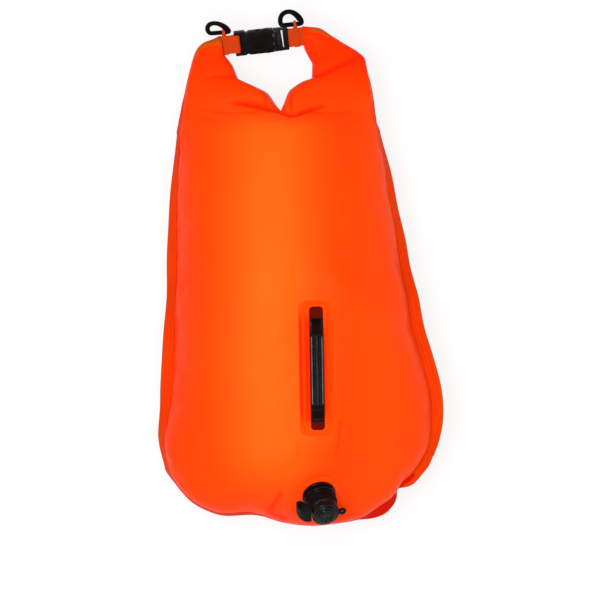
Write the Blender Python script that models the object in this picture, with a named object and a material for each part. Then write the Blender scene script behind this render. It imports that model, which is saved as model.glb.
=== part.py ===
"""Swim buoy: an inflated dry bag with a roll-top, a buckle, a grip and a valve.

The bag lies on its back. X runs across it, Y runs up towards the roll-top and
Z comes out of its front. The origin is on the flat rest patch of the back.
Lengths are in metres. Names that end in share or shares hold plain ratios.
"""

import math

import bpy
import bmesh
import numpy as np
from mathutils import Matrix, Vector

# Bag
BAG_WIDTH = 0.305
BAG_LENGTH = 0.442
SEAM_HEIGHT = 0.078
FRONT_DEPTH = 0.080
BACK_DEPTH = 0.084
NECK_HALF_DEPTH = 0.028
SEAM_FLANGE = 0.014
SKIN = 0.0009
CLEARANCE = 0.0003
INNER_CLEARANCE = 0.0006
ORIGIN_SHARE = 0.4747
CELLS_ACROSS = 18
CELLS_ALONG = 24
SPACING_SHARE = 0.5

# Outline of the seam flange: shares of the bag's width and of its length above the bottom seam
LEFT_EDGE_SHARES = [
    (-0.476, 0.141), (-0.501, 0.219), (-0.494, 0.304), (-0.487, 0.414), (-0.473, 0.560),
    (-0.466, 0.706), (-0.452, 0.852), (-0.441, 0.925), (-0.423, 1.0),
]
RIGHT_EDGE_SHARES = [
    (0.476, 0.173), (0.497, 0.219), (0.506, 0.280), (0.497, 0.341), (0.469, 0.414), (0.437, 0.487),
    (0.416, 0.560), (0.388, 0.633), (0.370, 0.706), (0.346, 0.779), (0.321, 0.852), (0.293, 0.925),
    (0.265, 1.0),
]
BOTTOM_EDGE_SHARES = [
    (-0.476, 0.141), (-0.441, 0.097), (-0.388, 0.058), (-0.328, 0.034), (-0.265, 0.022),
    (-0.159, 0.026), (-0.053, 0.007), (0.053, 0.0), (0.194, 0.012), (0.300, 0.027),
    (0.360, 0.074), (0.416, 0.105), (0.476, 0.173),
]
# How much of the flange's width shows from the front, along the seam from the left neck round
# the bottom to the right neck
FLANGE_SHOW_SHARES = [
    (0.0, 0.18), (0.04, 0.46), (0.09, 0.62), (0.14, 0.77), (0.19, 0.80), (0.24, 0.95), (0.29, 0.90),
    (0.33, 0.62), (0.37, 0.28), (0.46, 0.22), (0.55, 0.30), (0.61, 0.40), (0.64, 0.85), (0.67, 1.0),
    (0.80, 0.98), (0.86, 0.75), (0.92, 0.60), (0.965, 0.25), (1.0, 0.15),
]
# Depth of the bag along its length: share of the length, share of the full depth
DEPTH_SHARES = [
    (0.0, 0.0), (0.012, 0.20), (0.04, 0.40), (0.08, 0.575), (0.14, 0.74), (0.22, 0.88), (0.32, 0.97),
    (0.44, 1.0), (0.58, 0.985), (0.70, 0.92), (0.80, 0.81), (0.89, 0.64), (0.95, 0.49), (1.0, 0.35),
]
LENS_POWER_SHARE = 0.5

# Roll-top: its two halves rise from the neck and bend in to the buckle
LOOP_RISE = 0.0802
ROLL_HALF_DEPTH = 0.0115
ROLL_END_HALF = 0.0098
ROLL_BULGE = 0.009
ARM_CELLS = 9
NECK_SPLIT_SHARE = 0.518
# The corners of each half at the neck: outer and inner, as shares of the bag's width
LEFT_NECK_SHARES = (-0.423, -0.068)
RIGHT_NECK_SHARES = (0.265, -0.066)
# Each station: outer edge and inner edge, as shares of the way from the neck's corners to the roll's
# end at the webbing, across and along the bag
LEFT_ARM_SHARES = [
    (0.0, 0.0, 0.0, 0.0), (0.049, 0.130, 0.107, 0.169), (0.120, 0.285, 0.296, 0.373),
    (0.169, 0.402, 0.612, 0.526), (0.233, 0.519, 0.767, 0.679), (0.296, 0.635, 0.860, 0.830),
    (0.346, 0.740, 0.996, 0.929), (0.430, 0.843, 1.034, 0.992), (0.592, 0.922, 1.049, 1.015),
    (0.818, 0.952, 1.054, 1.026), (1.0, 1.0, 1.0, 1.0),
]
RIGHT_ARM_SHARES = [
    (0.0, 0.0, 0.0, 0.0), (0.016, 0.116, 0.098, 0.146), (0.039, 0.231, 0.244, 0.292),
    (0.062, 0.324, 0.585, 0.410), (0.086, 0.405, 1.305, 0.505), (0.113, 0.497, 1.366, 0.629),
    (0.140, 0.613, 1.341, 0.732), (0.261, 0.729, 1.232, 0.812), (0.429, 0.804, 1.110, 0.878),
    (0.593, 0.891, 1.024, 0.937), (0.773, 0.966, 0.975, 0.965), (1.0, 1.0, 1.0, 1.0),
]

# Strap frame: X runs along the strap from socket to plug, Y across it, Z out of its face.
# Its origin is where socket and plug meet.
STRAP_X_SHARE = -0.0935
STRAP_RISE_ANGLE = math.radians(6.5)
STRAP_TILT_ANGLE = math.radians(22)
LEFT_ROLL_END = 0.0565
RIGHT_ROLL_END = 0.0325

# Webbing
WEBBING_WIDTH = 0.020
WEBBING_THICKNESS = 0.0013
WEBBING_LAYER_GAP = 0.0004
WEBBING_TAPER = 0.007
BAR_DIAMETER = 0.0032

# Buckle
SOCKET_LENGTH = 0.0285
SOCKET_NECK_LENGTH = 0.006
SOCKET_HALF_HEIGHT = 0.0128
SOCKET_NECK_HALF_HEIGHT = 0.0098
SOCKET_HALF_DEPTH = 0.0046
SOCKET_BAR_X = 0.0390
LUG_HALF_HEIGHT = 0.0136
LUG_INSIDE = 0.0103
LUG_REACH = 0.0030
LUG_START = 0.0305
CAVITY_HALF_HEIGHT = 0.0107
CAVITY_HALF_DEPTH = 0.0027
CAVITY_LENGTH = 0.0265
WINDOW_START = 0.0042
WINDOW_END = 0.0185
PLUG_BLOCK = 0.0062
PLUG_HALF_HEIGHT = 0.0124
PLUG_BAR_HALF_HEIGHT = 0.0119
PLUG_HALF_DEPTH = 0.0041
PLUG_BAR_X = 0.0135
TONGUE_LENGTH = 0.0235
TONGUE_HALF_HEIGHT = 0.0028
BUCKLE_EDGE = 0.0009
PRONG_ROOT_X = 0.0030
PRONG_ROOT_Y = 0.0086
PRONG_ROOT_RADIUS = 0.0021
PRONG_HALF_DEPTH = 0.0023
PRONG_THICKNESS = 0.0030
PRONG_LENGTH = 0.0240
PRONG_HEAD = 0.0136
PRONG_TIP = 0.0066
PRONG_CHANNEL = 0.0010

# D-rings and the webbing loops that hold them
RING_WIDTH = 0.0285
RING_HEIGHT = 0.0215
RING_BAND = 0.0042
RING_THICKNESS = 0.0034
RING_SHOULDER = 0.0032
RING_BAR_RISE = 0.0042
TAB_LEFT_X = 0.0523
TAB_RIGHT_X = 0.0247
TAB_WIDTH = 0.0068
TAB_THICKNESS = 0.0011
TAB_TOP_RADIUS = 0.0034
# Each ring: yaw about the strap's Y, lean about its own bar, roll in its own plane, slide along the bar
LEFT_RING_YAW = math.radians(20)
LEFT_RING_LEAN = math.radians(35)
LEFT_RING_ROLL = math.radians(6)
LEFT_RING_SLIDE = 0.0048
RIGHT_RING_YAW = math.radians(-22)
RIGHT_RING_LEAN = math.radians(-48)
RIGHT_RING_ROLL = math.radians(-8)
RIGHT_RING_SLIDE = 0.0035

# Grip and its welded patch
GRIP_X_SHARE = 0.0586
GRIP_TO_VALVE = 0.0394
GRIP_LEAN_ANGLE = math.radians(1)
GRIP_SINK = 0.003
GRIP_PATCH_WIDTH = 0.038
GRIP_PATCH_THICKNESS = 0.0022
GRIP_PATCH_CORNER = 0.009
GRIP_SLOT_WIDTH = 0.0140
GRIP_SLOT_LENGTH = 0.129
GRIP_PATCH_END = 0.007
GRIP_PATCH_LENGTH = GRIP_SLOT_LENGTH + GRIP_PATCH_END * 2
GRIP_SLOT_CORNER = 0.0035
GRIP_FOOT_WIDTH = 0.026
GRIP_FOOT_LENGTH = 0.017
GRIP_FOOT_THICKNESS = 0.0011
GRIP_LENGTH = 0.108
GRIP_MAIN_LENGTH = 0.072
GRIP_RISE = 0.0175
GRIP_WIDTH = 0.0126
GRIP_NECK_WIDTH = 0.0098
GRIP_THICKNESS = 0.0046
GRIP_GROOVE_DEPTH = 0.0011
GRIP_SHIFT = 0.0018

# Valve, on a flat of the bag near its bottom seam; heights are above that flat
VALVE_X_SHARE = 0.0623
VALVE_Y_SHARE = 0.0864
VALVE_HEIGHT_SHARE = 0.58
VALVE_TILT_ANGLE = math.radians(40)
VALVE_SWAY_ANGLE = math.radians(14)
VALVE_SEGMENTS = 28
VALVE_PATCH_RADIUS = 0.0215
VALVE_PATCH_THICKNESS = 0.0008
PANEL_HOLE_RADIUS = 0.0106
BASE_FLANGE_RADIUS = 0.0180
BASE_FLANGE_THICKNESS = 0.0030
BASE_WAIST_RADIUS = 0.0142
BASE_RING_RADIUS = 0.0171
BASE_HEIGHT = 0.0150
BASE_STUB = 0.0055
BASE_BORE = 0.0087
BASE_STUB_RADIUS = 0.0103
SEAL_THICKNESS = 0.0008
COLLAR_RADIUS = 0.0162
COLLAR_THICKNESS = 0.0040
INSERT_TUBE_RADIUS = 0.0084
INSERT_BORE = 0.0063
INSERT_NECK_RADIUS = 0.0112
INSERT_NECK_HEIGHT = 0.0080
SPIDER_HUB_RADIUS = 0.0030
SPIDER_THICKNESS = 0.0018
SPIDER_ARM = 0.0018
STEM_RADIUS = 0.0011
BEAD_RADIUS = 0.0019
FLAP_RADIUS = 0.0078
FLAP_THICKNESS = 0.0010
FLAP_TRAVEL = 0.0015
CAP_RADIUS = 0.0149
CAP_HEIGHT = 0.0160
CAP_DISC_RADIUS = 0.0084
CAP_DISC_DEPTH = 0.0008
CAP_TOP = 0.0024
CAP_PLUG_RADIUS = 0.0060
CAP_PLUG_LENGTH = 0.0062
CAP_SEAL_HEIGHT = 0.0019
CAP_SEAL_DEPTH = 0.0011
TAB_RING_RADIUS = 0.0042
TAB_RING_BAND = 0.0012
TETHER_THICKNESS = 0.0014
TETHER_WIDTH = 0.0095
TETHER_REACH = 0.0105
ROUND_OVER = 0.0008
OVERRUN = 0.004

NECK_Y = BAG_LENGTH * (1 - ORIGIN_SHARE)
BOTTOM_Y = -BAG_LENGTH * ORIGIN_SHARE


def clear_scene():
    for item in list(bpy.data.objects):
        bpy.data.objects.remove(item, do_unlink=True)


def material(name, color, roughness, metallic=0.0):
    mat = bpy.data.materials.new(name)
    mat.use_nodes = True
    shader = mat.node_tree.nodes["Principled BSDF"]
    shader.inputs["Base Color"].default_value = (*color, 1.0)
    shader.inputs["Roughness"].default_value = roughness
    shader.inputs["Metallic"].default_value = metallic
    mat.diffuse_color = (*color, 1.0)
    return mat


def empty(name, matrix, parent=None):
    holder = bpy.data.objects.new(name, None)
    bpy.context.scene.collection.objects.link(holder)
    holder.parent = parent
    holder.matrix_local = matrix
    return holder


def add_object(name, bm, mat=None, parent=None, matrix=None, sharp=math.radians(35)):
    bmesh.ops.recalc_face_normals(bm, faces=bm.faces)
    mesh = bpy.data.meshes.new(name)
    bm.to_mesh(mesh)
    bm.free()
    mesh.shade_smooth()
    mesh.set_sharp_from_angle(angle=sharp)
    obj = bpy.data.objects.new(name, mesh)
    bpy.context.scene.collection.objects.link(obj)
    if mat is not None:
        mesh.materials.append(mat)
    obj.parent = parent
    if matrix is not None:
        obj.matrix_local = matrix
    return obj


def boolean(target, cutter, operation="DIFFERENCE"):
    cutter.hide_render = True
    cutter.display_type = "WIRE"
    step = target.modifiers.new(operation.lower() + "_" + cutter.name, "BOOLEAN")
    step.operation = operation
    step.solver = "EXACT"
    step.object = cutter


def bevel(target, width, segments=1, angle=math.radians(40)):
    step = target.modifiers.new("edges", "BEVEL")
    step.width = width
    step.segments = segments
    step.limit_method = "ANGLE"
    step.angle_limit = angle


def smooth_step(value):
    value = min(1.0, max(0.0, value))
    return value * value * (3 - 2 * value)


def table_value(table, place):
    xs = [row[0] for row in table]
    ys = [row[1] for row in table]
    return float(np.interp(place, xs, ys))


def catmull(points):
    """Closely spaced points of a smooth curve through the given ones, and their travel."""
    pts = [np.array(p, float) for p in points]
    padded = [2 * pts[0] - pts[1]] + pts + [2 * pts[-1] - pts[-2]]
    fine = []
    steps = 12
    for a, b, c, d in zip(padded, padded[1:], padded[2:], padded[3:]):
        for i in range(steps):
            t = i / steps
            fine.append(0.5 * (2 * b + (c - a) * t + (2 * a - 5 * b + 4 * c - d) * t * t
                               + (3 * b - 3 * c + d - a) * t ** 3))
    fine.append(pts[-1])
    fine = np.array(fine)
    lengths = np.concatenate([[0], np.cumsum(np.linalg.norm(np.diff(fine, axis=0), axis=1))])
    return lengths, fine


def curve_points(points, places):
    """Points of the smooth curve at the given shares of its length."""
    lengths, fine = catmull(points)
    at = np.array(places) * lengths[-1]
    return np.array([[np.interp(s, lengths, fine[:, k]) for k in range(fine.shape[1])] for s in at])


def spaced_shares(count):
    even = np.linspace(0, 1, count + 1)
    close_at_ends = 0.5 - 0.5 * np.cos(np.pi * even)
    return even * (1 - SPACING_SHARE) + close_at_ends * SPACING_SHARE


def plan(shares):
    return [(x * BAG_WIDTH, BOTTOM_Y + y * BAG_LENGTH) for x, y in shares]


def seam_outline():
    """Flange edge and seam line from the left neck, round the bottom, to the right neck."""
    across = spaced_shares(CELLS_ACROSS)
    along = np.linspace(0, 1, CELLS_ALONG + 1)
    left = curve_points(plan(LEFT_EDGE_SHARES), along)
    right = curve_points(plan(RIGHT_EDGE_SHARES), along)
    bottom = curve_points(plan(BOTTOM_EDGE_SHARES), across)
    edge = np.vstack([left[::-1], bottom[1:-1], right])
    travel = np.concatenate([[0], np.cumsum(np.linalg.norm(np.diff(edge, axis=0), axis=1))])
    travel /= travel[-1]
    tangent = np.gradient(edge, axis=0)
    tangent /= np.linalg.norm(tangent, axis=1)[:, None]
    inward = np.stack([-tangent[:, 1], tangent[:, 0]], axis=1)
    inward[0] = (1.0, 0.0)
    inward[-1] = (-1.0, 0.0)
    show = np.array([table_value(FLANGE_SHOW_SHARES, s) for s in travel])
    seam = edge + inward * (SEAM_FLANGE * show)[:, None]
    drop = SEAM_FLANGE * np.sqrt(np.clip(1 - show ** 2, 0, 1))
    edge_line = [Vector((x, y, SEAM_HEIGHT - d)) for (x, y), d in zip(edge, drop)]
    seam_line = [Vector((x, y, SEAM_HEIGHT)) for x, y in seam]
    return edge_line, seam_line


def plan_map(seam_line):
    """Plan position of every grid point, blended from the four sides of the bag."""
    left = seam_line[:CELLS_ALONG + 1][::-1]
    bottom = seam_line[CELLS_ALONG:CELLS_ALONG + CELLS_ACROSS + 1]
    right = seam_line[CELLS_ALONG + CELLS_ACROSS:]
    top_left = left[-1]
    top_right = right[-1]
    across = spaced_shares(CELLS_ACROSS)
    grid = []
    for j in range(CELLS_ALONG + 1):
        v = j / CELLS_ALONG
        row = []
        for i, u in enumerate(across):
            top = top_left.lerp(top_right, u)
            point = bottom[i] * (1 - v) + top * v + left[j] * (1 - u) + right[j] * u
            corner = (bottom[0] * (1 - u) + bottom[-1] * u) * (1 - v) + top * v
            row.append(point - corner)
        grid.append(row)
    return grid, across


def lens(u):
    return max(0.0, 4 * u * (1 - u)) ** LENS_POWER_SHARE


def grip_frame():
    """The grip's patch starts a set distance above the valve's patch."""
    x = GRIP_X_SHARE * BAG_WIDTH
    y = valve_frame().translation.y + VALVE_PATCH_RADIUS + GRIP_TO_VALVE + GRIP_PATCH_LENGTH / 2
    z = SEAM_HEIGHT + FRONT_DEPTH - GRIP_SINK
    return Matrix.Translation((x, y, z)) @ Matrix.Rotation(GRIP_LEAN_ANGLE, 4, "Z")


def valve_frame():
    x = VALVE_X_SHARE * BAG_WIDTH
    y = BOTTOM_Y + VALVE_Y_SHARE * BAG_LENGTH
    z = SEAM_HEIGHT + FRONT_DEPTH * VALVE_HEIGHT_SHARE
    tilt = Matrix.Rotation(VALVE_TILT_ANGLE, 4, "X")
    sway = Matrix.Rotation(VALVE_SWAY_ANGLE, 4, "Y")
    return Matrix.Translation((x, y, z)) @ tilt @ sway


def settle(point, frame, distance, flat, fade):
    """Moves a point of the front onto the XY plane of a frame, as far as the stiff piece reaches."""
    local = frame.inverted() @ point
    weight = 1 - smooth_step((distance(local) - flat) / fade)
    local.z *= 1 - weight
    return frame @ local


def front_grid(plan_grid, across):
    grip = grip_frame()
    valve = valve_frame()
    side_margin = BAG_WIDTH / CELLS_ACROSS * 1.3
    grip_half = Vector((GRIP_PATCH_WIDTH / 2, GRIP_PATCH_LENGTH / 2))

    def off_grip(local):
        return max(abs(local.x) - grip_half.x, abs(local.y) - grip_half.y)

    def off_valve(local):
        return local.xy.length - VALVE_PATCH_RADIUS

    grid = []
    for j, row in enumerate(plan_grid):
        depth = FRONT_DEPTH * table_value(DEPTH_SHARES, j / CELLS_ALONG)
        line = []
        for i, point in enumerate(row):
            raised = point + Vector((0, 0, depth * lens(across[i])))
            if 0 < i < CELLS_ACROSS and j > 0:
                raised = settle(raised, grip, off_grip, side_margin, BAG_WIDTH / 8)
                raised = settle(raised, valve, off_valve, side_margin, BAG_WIDTH / 20)
            line.append(raised)
        grid.append(line)
    return grid


def back_grid(plan_grid, across):
    grid = []
    for j, row in enumerate(plan_grid):
        depth = BACK_DEPTH * table_value(DEPTH_SHARES, j / CELLS_ALONG)
        if j == CELLS_ALONG:
            depth = NECK_HALF_DEPTH
        line = []
        for i, point in enumerate(row):
            lowered = point - Vector((0, 0, depth * lens(across[i])))
            lowered.z = max(lowered.z, SKIN + CLEARANCE / 2)
            line.append(lowered)
        grid.append(line)
    return grid


def sheet_of(grid, edge_line, up):
    """Points and triangles of one panel with its flange, facing up or down."""
    points = [p for row in grid for p in row] + list(edge_line)
    wide = CELLS_ACROSS + 1
    faces = []

    def quad(a, b, c, d):
        if up:
            faces.extend([(a, b, c), (a, c, d)])
        else:
            faces.extend([(a, c, b), (a, d, c)])

    for j in range(CELLS_ALONG):
        for i in range(CELLS_ACROSS):
            a = j * wide + i
            quad(a, a + 1, a + 1 + wide, a + wide)
    seam = [j * wide for j in range(CELLS_ALONG, -1, -1)]
    seam += list(range(1, CELLS_ACROSS))
    seam += [j * wide + CELLS_ACROSS for j in range(CELLS_ALONG + 1)]
    first_edge = wide * (CELLS_ALONG + 1)
    for k in range(len(seam) - 1):
        quad(seam[k], first_edge + k, first_edge + k + 1, seam[k + 1])
    return points, faces


def vertex_normals(points, faces):
    normals = [Vector() for _ in points]
    for face in faces:
        a, b, c = (points[k] for k in face)
        normal = (b - a).cross(c - a)
        for k in face:
            normals[k] += normal
    return [n.normalized() for n in normals]


def thicken(points, faces, near, far):
    """A closed skin between two offsets of one sheet."""
    normals = vertex_normals(points, faces)
    bm = bmesh.new()
    inner = [bm.verts.new(p + n * near) for p, n in zip(points, normals)]
    outer = [bm.verts.new(p + n * far) for p, n in zip(points, normals)]
    directed = set()
    for a, b, c in faces:
        bm.faces.new((outer[a], outer[b], outer[c]))
        bm.faces.new((inner[c], inner[b], inner[a]))
        directed.update([(a, b), (b, c), (c, a)])
    for a, b in directed:
        if (b, a) not in directed:
            bm.faces.new((outer[b], outer[a], inner[a], inner[b]))
    return bm


def loft(rings, cyclic=False):
    """A closed solid through rings with the same number of points."""
    bm = bmesh.new()
    rows = [[bm.verts.new(p) for p in ring] for ring in rings]
    count = len(rows[0])
    pairs = list(zip(rows, rows[1:]))
    if cyclic:
        pairs.append((rows[-1], rows[0]))
    for low, high in pairs:
        for k in range(count):
            n = (k + 1) % count
            bm.faces.new((low[k], low[n], high[n], high[k]))
    if not cyclic:
        bm.faces.new(rows[0][::-1])
        bm.faces.new(rows[-1])
    return bm


def revolve(profile, segments):
    """A turned solid about Z. A profile that starts and ends on the axis is closed there."""
    bm = bmesh.new()
    rings = []
    for radius, height in profile:
        if radius <= 0:
            rings.append([bm.verts.new((0, 0, height))])
            continue
        ring = []
        for k in range(segments):
            angle = 2 * math.pi * k / segments
            ring.append(bm.verts.new((radius * math.cos(angle), radius * math.sin(angle), height)))
        rings.append(ring)
    on_axis = profile[0][0] <= 0
    pairs = list(zip(rings, rings[1:]))
    if not on_axis:
        pairs.append((rings[-1], rings[0]))
    for low, high in pairs:
        for k in range(segments):
            n = (k + 1) % segments
            corners = [low[k % len(low)], low[n % len(low)], high[n % len(high)], high[k % len(high)]]
            unique = []
            for vert in corners:
                if vert not in unique:
                    unique.append(vert)
            bm.faces.new(unique)
    return bm


def offset_path(path, half, closed=False):
    """The two sides of a flat path in 2D, half a thickness away from it."""
    count = len(path)
    left = []
    right = []
    for k in range(count):
        before = Vector(path[k - 1]) if closed or k > 0 else None
        here = Vector(path[k])
        after = Vector(path[(k + 1) % count]) if closed or k < count - 1 else None
        first = (here - before).normalized() if before is not None else (after - here).normalized()
        last = (after - here).normalized() if after is not None else first
        tangent = (first + last).normalized()
        normal = Vector((-tangent.y, tangent.x))
        reach = half / max(0.5, normal.dot(Vector((-first.y, first.x))))
        left.append(here + normal * reach)
        right.append(here - normal * reach)
    return left, right


def ribbon(path, half_thickness, stations, place, closed=False):
    """A flat strip that follows a 2D path, with its width given by stations.

    place turns a path point and a station into a 3D point.
    """
    left, right = offset_path(path, half_thickness, closed)
    rings = []
    for a, b in zip(left, right):
        ring = [place(a, s) for s in stations] + [place(b, s) for s in reversed(stations)]
        rings.append(ring)
    return loft(rings, cyclic=closed)


def prism(outline, low, high, axis="Z"):
    """An outline in 2D, extruded from low to high."""
    rings = []
    for level in (low, high):
        if axis == "Z":
            rings.append([Vector((x, y, level)) for x, y in outline])
        else:
            rings.append([Vector((level, x, y)) for x, y in outline])
    return loft(rings)


def rounded_rectangle(width, length, corner, steps=4):
    points = []
    for cx, cy, start in ((1, 1, 0), (-1, 1, 1), (-1, -1, 2), (1, -1, 3)):
        for k in range(steps + 1):
            angle = (start + k / steps) * math.pi / 2
            x = cx * (width / 2 - corner) + corner * math.cos(angle)
            y = cy * (length / 2 - corner) + corner * math.sin(angle)
            points.append((x, y))
    return points


def box_outline(x_low, x_high, y_half):
    return [(x_low, -y_half), (x_high, -y_half), (x_high, y_half), (x_low, y_half)]


def inner_solid(front_points, front_faces, back_points, back_faces):
    """The inflated inner bag: the space between the panels, one cell short of seam and neck."""
    inset = INNER_CLEARANCE - CLEARANCE / 2
    wide = CELLS_ACROSS + 1
    kept = {j * wide + i for j in range(1, CELLS_ALONG) for i in range(1, CELLS_ACROSS)}
    bm = bmesh.new()
    sides = []
    for points, faces in ((front_points, front_faces), (back_points, back_faces)):
        normals = vertex_normals(points, faces)
        verts = {k: bm.verts.new(points[k] - normals[k] * inset) for k in sorted(kept)}
        inside = [face for face in faces if kept.issuperset(face)]
        for face in inside:
            bm.faces.new([verts[k] for k in face])
        sides.append(verts)
        directed = {pair for a, b, c in inside for pair in ((a, b), (b, c), (c, a))}
        walls = [pair for pair in directed if pair[::-1] not in directed]
    front_side, back_side = sides
    for a, b in walls:
        bm.faces.new((back_side[b], back_side[a], front_side[a], front_side[b]))
    return bm


def make_bag(fabric, inner_fabric):
    edge_line, seam_line = seam_outline()
    plan_grid, across = plan_map(seam_line)
    front = front_grid(plan_grid, across)
    back = back_grid(plan_grid, across)
    near = CLEARANCE / 2
    front_points, front_faces = sheet_of(front, edge_line, True)
    back_points, back_faces = sheet_of(back, edge_line, False)
    front_panel = add_object("front_panel", thicken(front_points, front_faces, near, near + SKIN), fabric)
    add_object("back_panel", thicken(back_points, back_faces, near, near + SKIN), fabric)

    inner_bag = add_object("inner_bag", inner_solid(front_points, front_faces, back_points, back_faces),
                           inner_fabric)
    return front_panel, inner_bag


def arm_rings(stations, neck_shares, side, end_x, strap):
    """Rings of one half of the roll-top, from the neck to its end at the webbing."""
    across = strap.to_3x3() @ Vector((0, 1, 0))
    across.z = 0
    across.normalize()
    end = strap @ Vector((end_x, 0, 0))
    starts = [Vector((share * BAG_WIDTH, NECK_Y + CLEARANCE * 2, SEAM_HEIGHT)) for share in neck_shares]
    ends = (end + across * ROLL_END_HALF, end - across * ROLL_END_HALF)
    lines = []
    for outer_x, outer_y, inner_x, inner_y in stations:
        line = []
        for start, finish, along_x, along_y in ((starts[0], ends[0], outer_x, outer_y),
                                                (starts[1], ends[1], inner_x, inner_y)):
            way = finish - start
            line.append(start + Vector((way.x * along_x, way.y * along_y, 0)))
        lines.append(line)
    rings = []
    last = len(lines) - 1
    for s, (outer, inner) in enumerate(lines):
        rolled = smooth_step(s / (last - 2))
        top = []
        bottom = []
        for k in range(ARM_CELLS + 1):
            w = 0.5 - 0.5 * math.cos(math.pi * k / ARM_CELLS)
            u = w * NECK_SPLIT_SHARE if side < 0 else 1 - w * (1 - NECK_SPLIT_SHARE)
            flat = NECK_HALF_DEPTH * lens(u)
            round_end = ROLL_HALF_DEPTH * max(0.0, 4 * w * (1 - w)) ** 0.4
            depth = flat * (1 - rolled) + round_end * rolled + SKIN
            bulge = ROLL_BULGE * lens(w) * math.sin(math.pi * s / last) ** 2
            point = outer.lerp(inner, w)
            top.append(point + Vector((0, 0, depth)))
            bottom.append(point - Vector((0, 0, depth + bulge)))
        rings.append(top + bottom[::-1])
    return rings


def make_roll(fabric, strap):
    left = arm_rings(LEFT_ARM_SHARES, LEFT_NECK_SHARES, -1, -LEFT_ROLL_END, strap)
    right = arm_rings(RIGHT_ARM_SHARES, RIGHT_NECK_SHARES, 1, RIGHT_ROLL_END, strap)
    add_object("roll_left", loft(left), fabric)
    add_object("roll_right", loft(right), fabric)


def strap_frame():
    x = STRAP_X_SHARE * BAG_WIDTH
    place = Matrix.Translation((x, NECK_Y + LOOP_RISE, SEAM_HEIGHT))
    rise = Matrix.Rotation(STRAP_RISE_ANGLE, 4, "Z")
    tilt = Matrix.Rotation(STRAP_TILT_ANGLE, 4, "X")
    return place @ rise @ tilt


def webbing_path(start, bar, turn):
    """Out along one layer, round the bar, back along the other, seen from the strap's edge."""
    direction = 1 if bar > start else -1
    layer = (WEBBING_THICKNESS + WEBBING_LAYER_GAP) / 2
    radius = BAR_DIAMETER / 2 + CLEARANCE + WEBBING_THICKNESS / 2
    path = [(start, layer), (bar - direction * WEBBING_TAPER, layer)]
    for k in range(turn + 1):
        angle = math.radians(120) - math.radians(240) * k / turn
        path.append((bar + direction * radius * math.cos(angle), radius * math.sin(angle)))
    path += [(bar - direction * WEBBING_TAPER, -layer), (start, -layer)]
    return path


def make_webbing(webbing, holder):
    half = WEBBING_WIDTH / 2
    left_start = -LEFT_ROLL_END + CLEARANCE
    right_start = RIGHT_ROLL_END - CLEARANCE
    for name, start, bar in (("webbing_left", left_start, -SOCKET_BAR_X),
                             ("webbing_right", right_start, PLUG_BAR_X)):
        path = webbing_path(start, bar, 8)
        strip = ribbon(path, WEBBING_THICKNESS / 2, (-half, half), lambda p, s: Vector((p.x, s, p.y)))
        add_object(name, strip, webbing, holder)


def cutter(name, bm, parent, matrix=None):
    return add_object(name, bm, None, parent, matrix)


def bar_outline(radius, x, steps=8):
    points = []
    for k in range(steps):
        angle = 2 * math.pi * (k + 0.5) / steps
        points.append((x + radius * math.cos(angle), radius * math.sin(angle)))
    return points


def cross_bar(x, half_height):
    """A round bar across the strap."""
    rings = []
    for y in (-half_height, half_height):
        rings.append([Vector((px, y, pz)) for px, pz in bar_outline(BAR_DIAMETER / 2, x)])
    return loft(rings)


def mirrored(outline):
    """Closes an upper outline with its mirror image below the X axis."""
    return list(outline) + [(x, -y) for x, y in reversed(outline)]


def make_socket(plastic, holder):
    neck_end = SOCKET_LENGTH + SOCKET_NECK_LENGTH
    lug_end = SOCKET_BAR_X + LUG_REACH
    upper = [
        (-neck_end, LUG_INSIDE), (-lug_end, LUG_INSIDE),
        (-lug_end, LUG_HALF_HEIGHT - BUCKLE_EDGE), (-lug_end + BUCKLE_EDGE, LUG_HALF_HEIGHT),
        (-LUG_START - BUCKLE_EDGE, LUG_HALF_HEIGHT), (-LUG_START, LUG_HALF_HEIGHT - BUCKLE_EDGE),
        (-LUG_START, SOCKET_NECK_HALF_HEIGHT), (-SOCKET_LENGTH + BUCKLE_EDGE, SOCKET_NECK_HALF_HEIGHT),
        (-SOCKET_LENGTH + 2 * BUCKLE_EDGE, SOCKET_HALF_HEIGHT), (0, SOCKET_HALF_HEIGHT),
    ]
    socket = add_object("buckle_socket", prism(mirrored(upper), -SOCKET_HALF_DEPTH, SOCKET_HALF_DEPTH),
                        plastic, holder)
    bevel(socket, BUCKLE_EDGE)
    cavity = prism(box_outline(-CAVITY_LENGTH, OVERRUN, CAVITY_HALF_HEIGHT), -CAVITY_HALF_DEPTH,
                   CAVITY_HALF_DEPTH)
    window = prism(box_outline(-WINDOW_END, -WINDOW_START, SOCKET_HALF_HEIGHT + OVERRUN),
                   -CAVITY_HALF_DEPTH, CAVITY_HALF_DEPTH)
    boolean(socket, cutter("cut_socket_cavity", cavity, holder))
    boolean(socket, cutter("cut_socket_windows", window, holder))
    bar = cross_bar(-SOCKET_BAR_X, (LUG_INSIDE + LUG_HALF_HEIGHT) / 2)
    boolean(socket, cutter("add_socket_bar", bar, holder), "UNION")
    return socket


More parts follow.
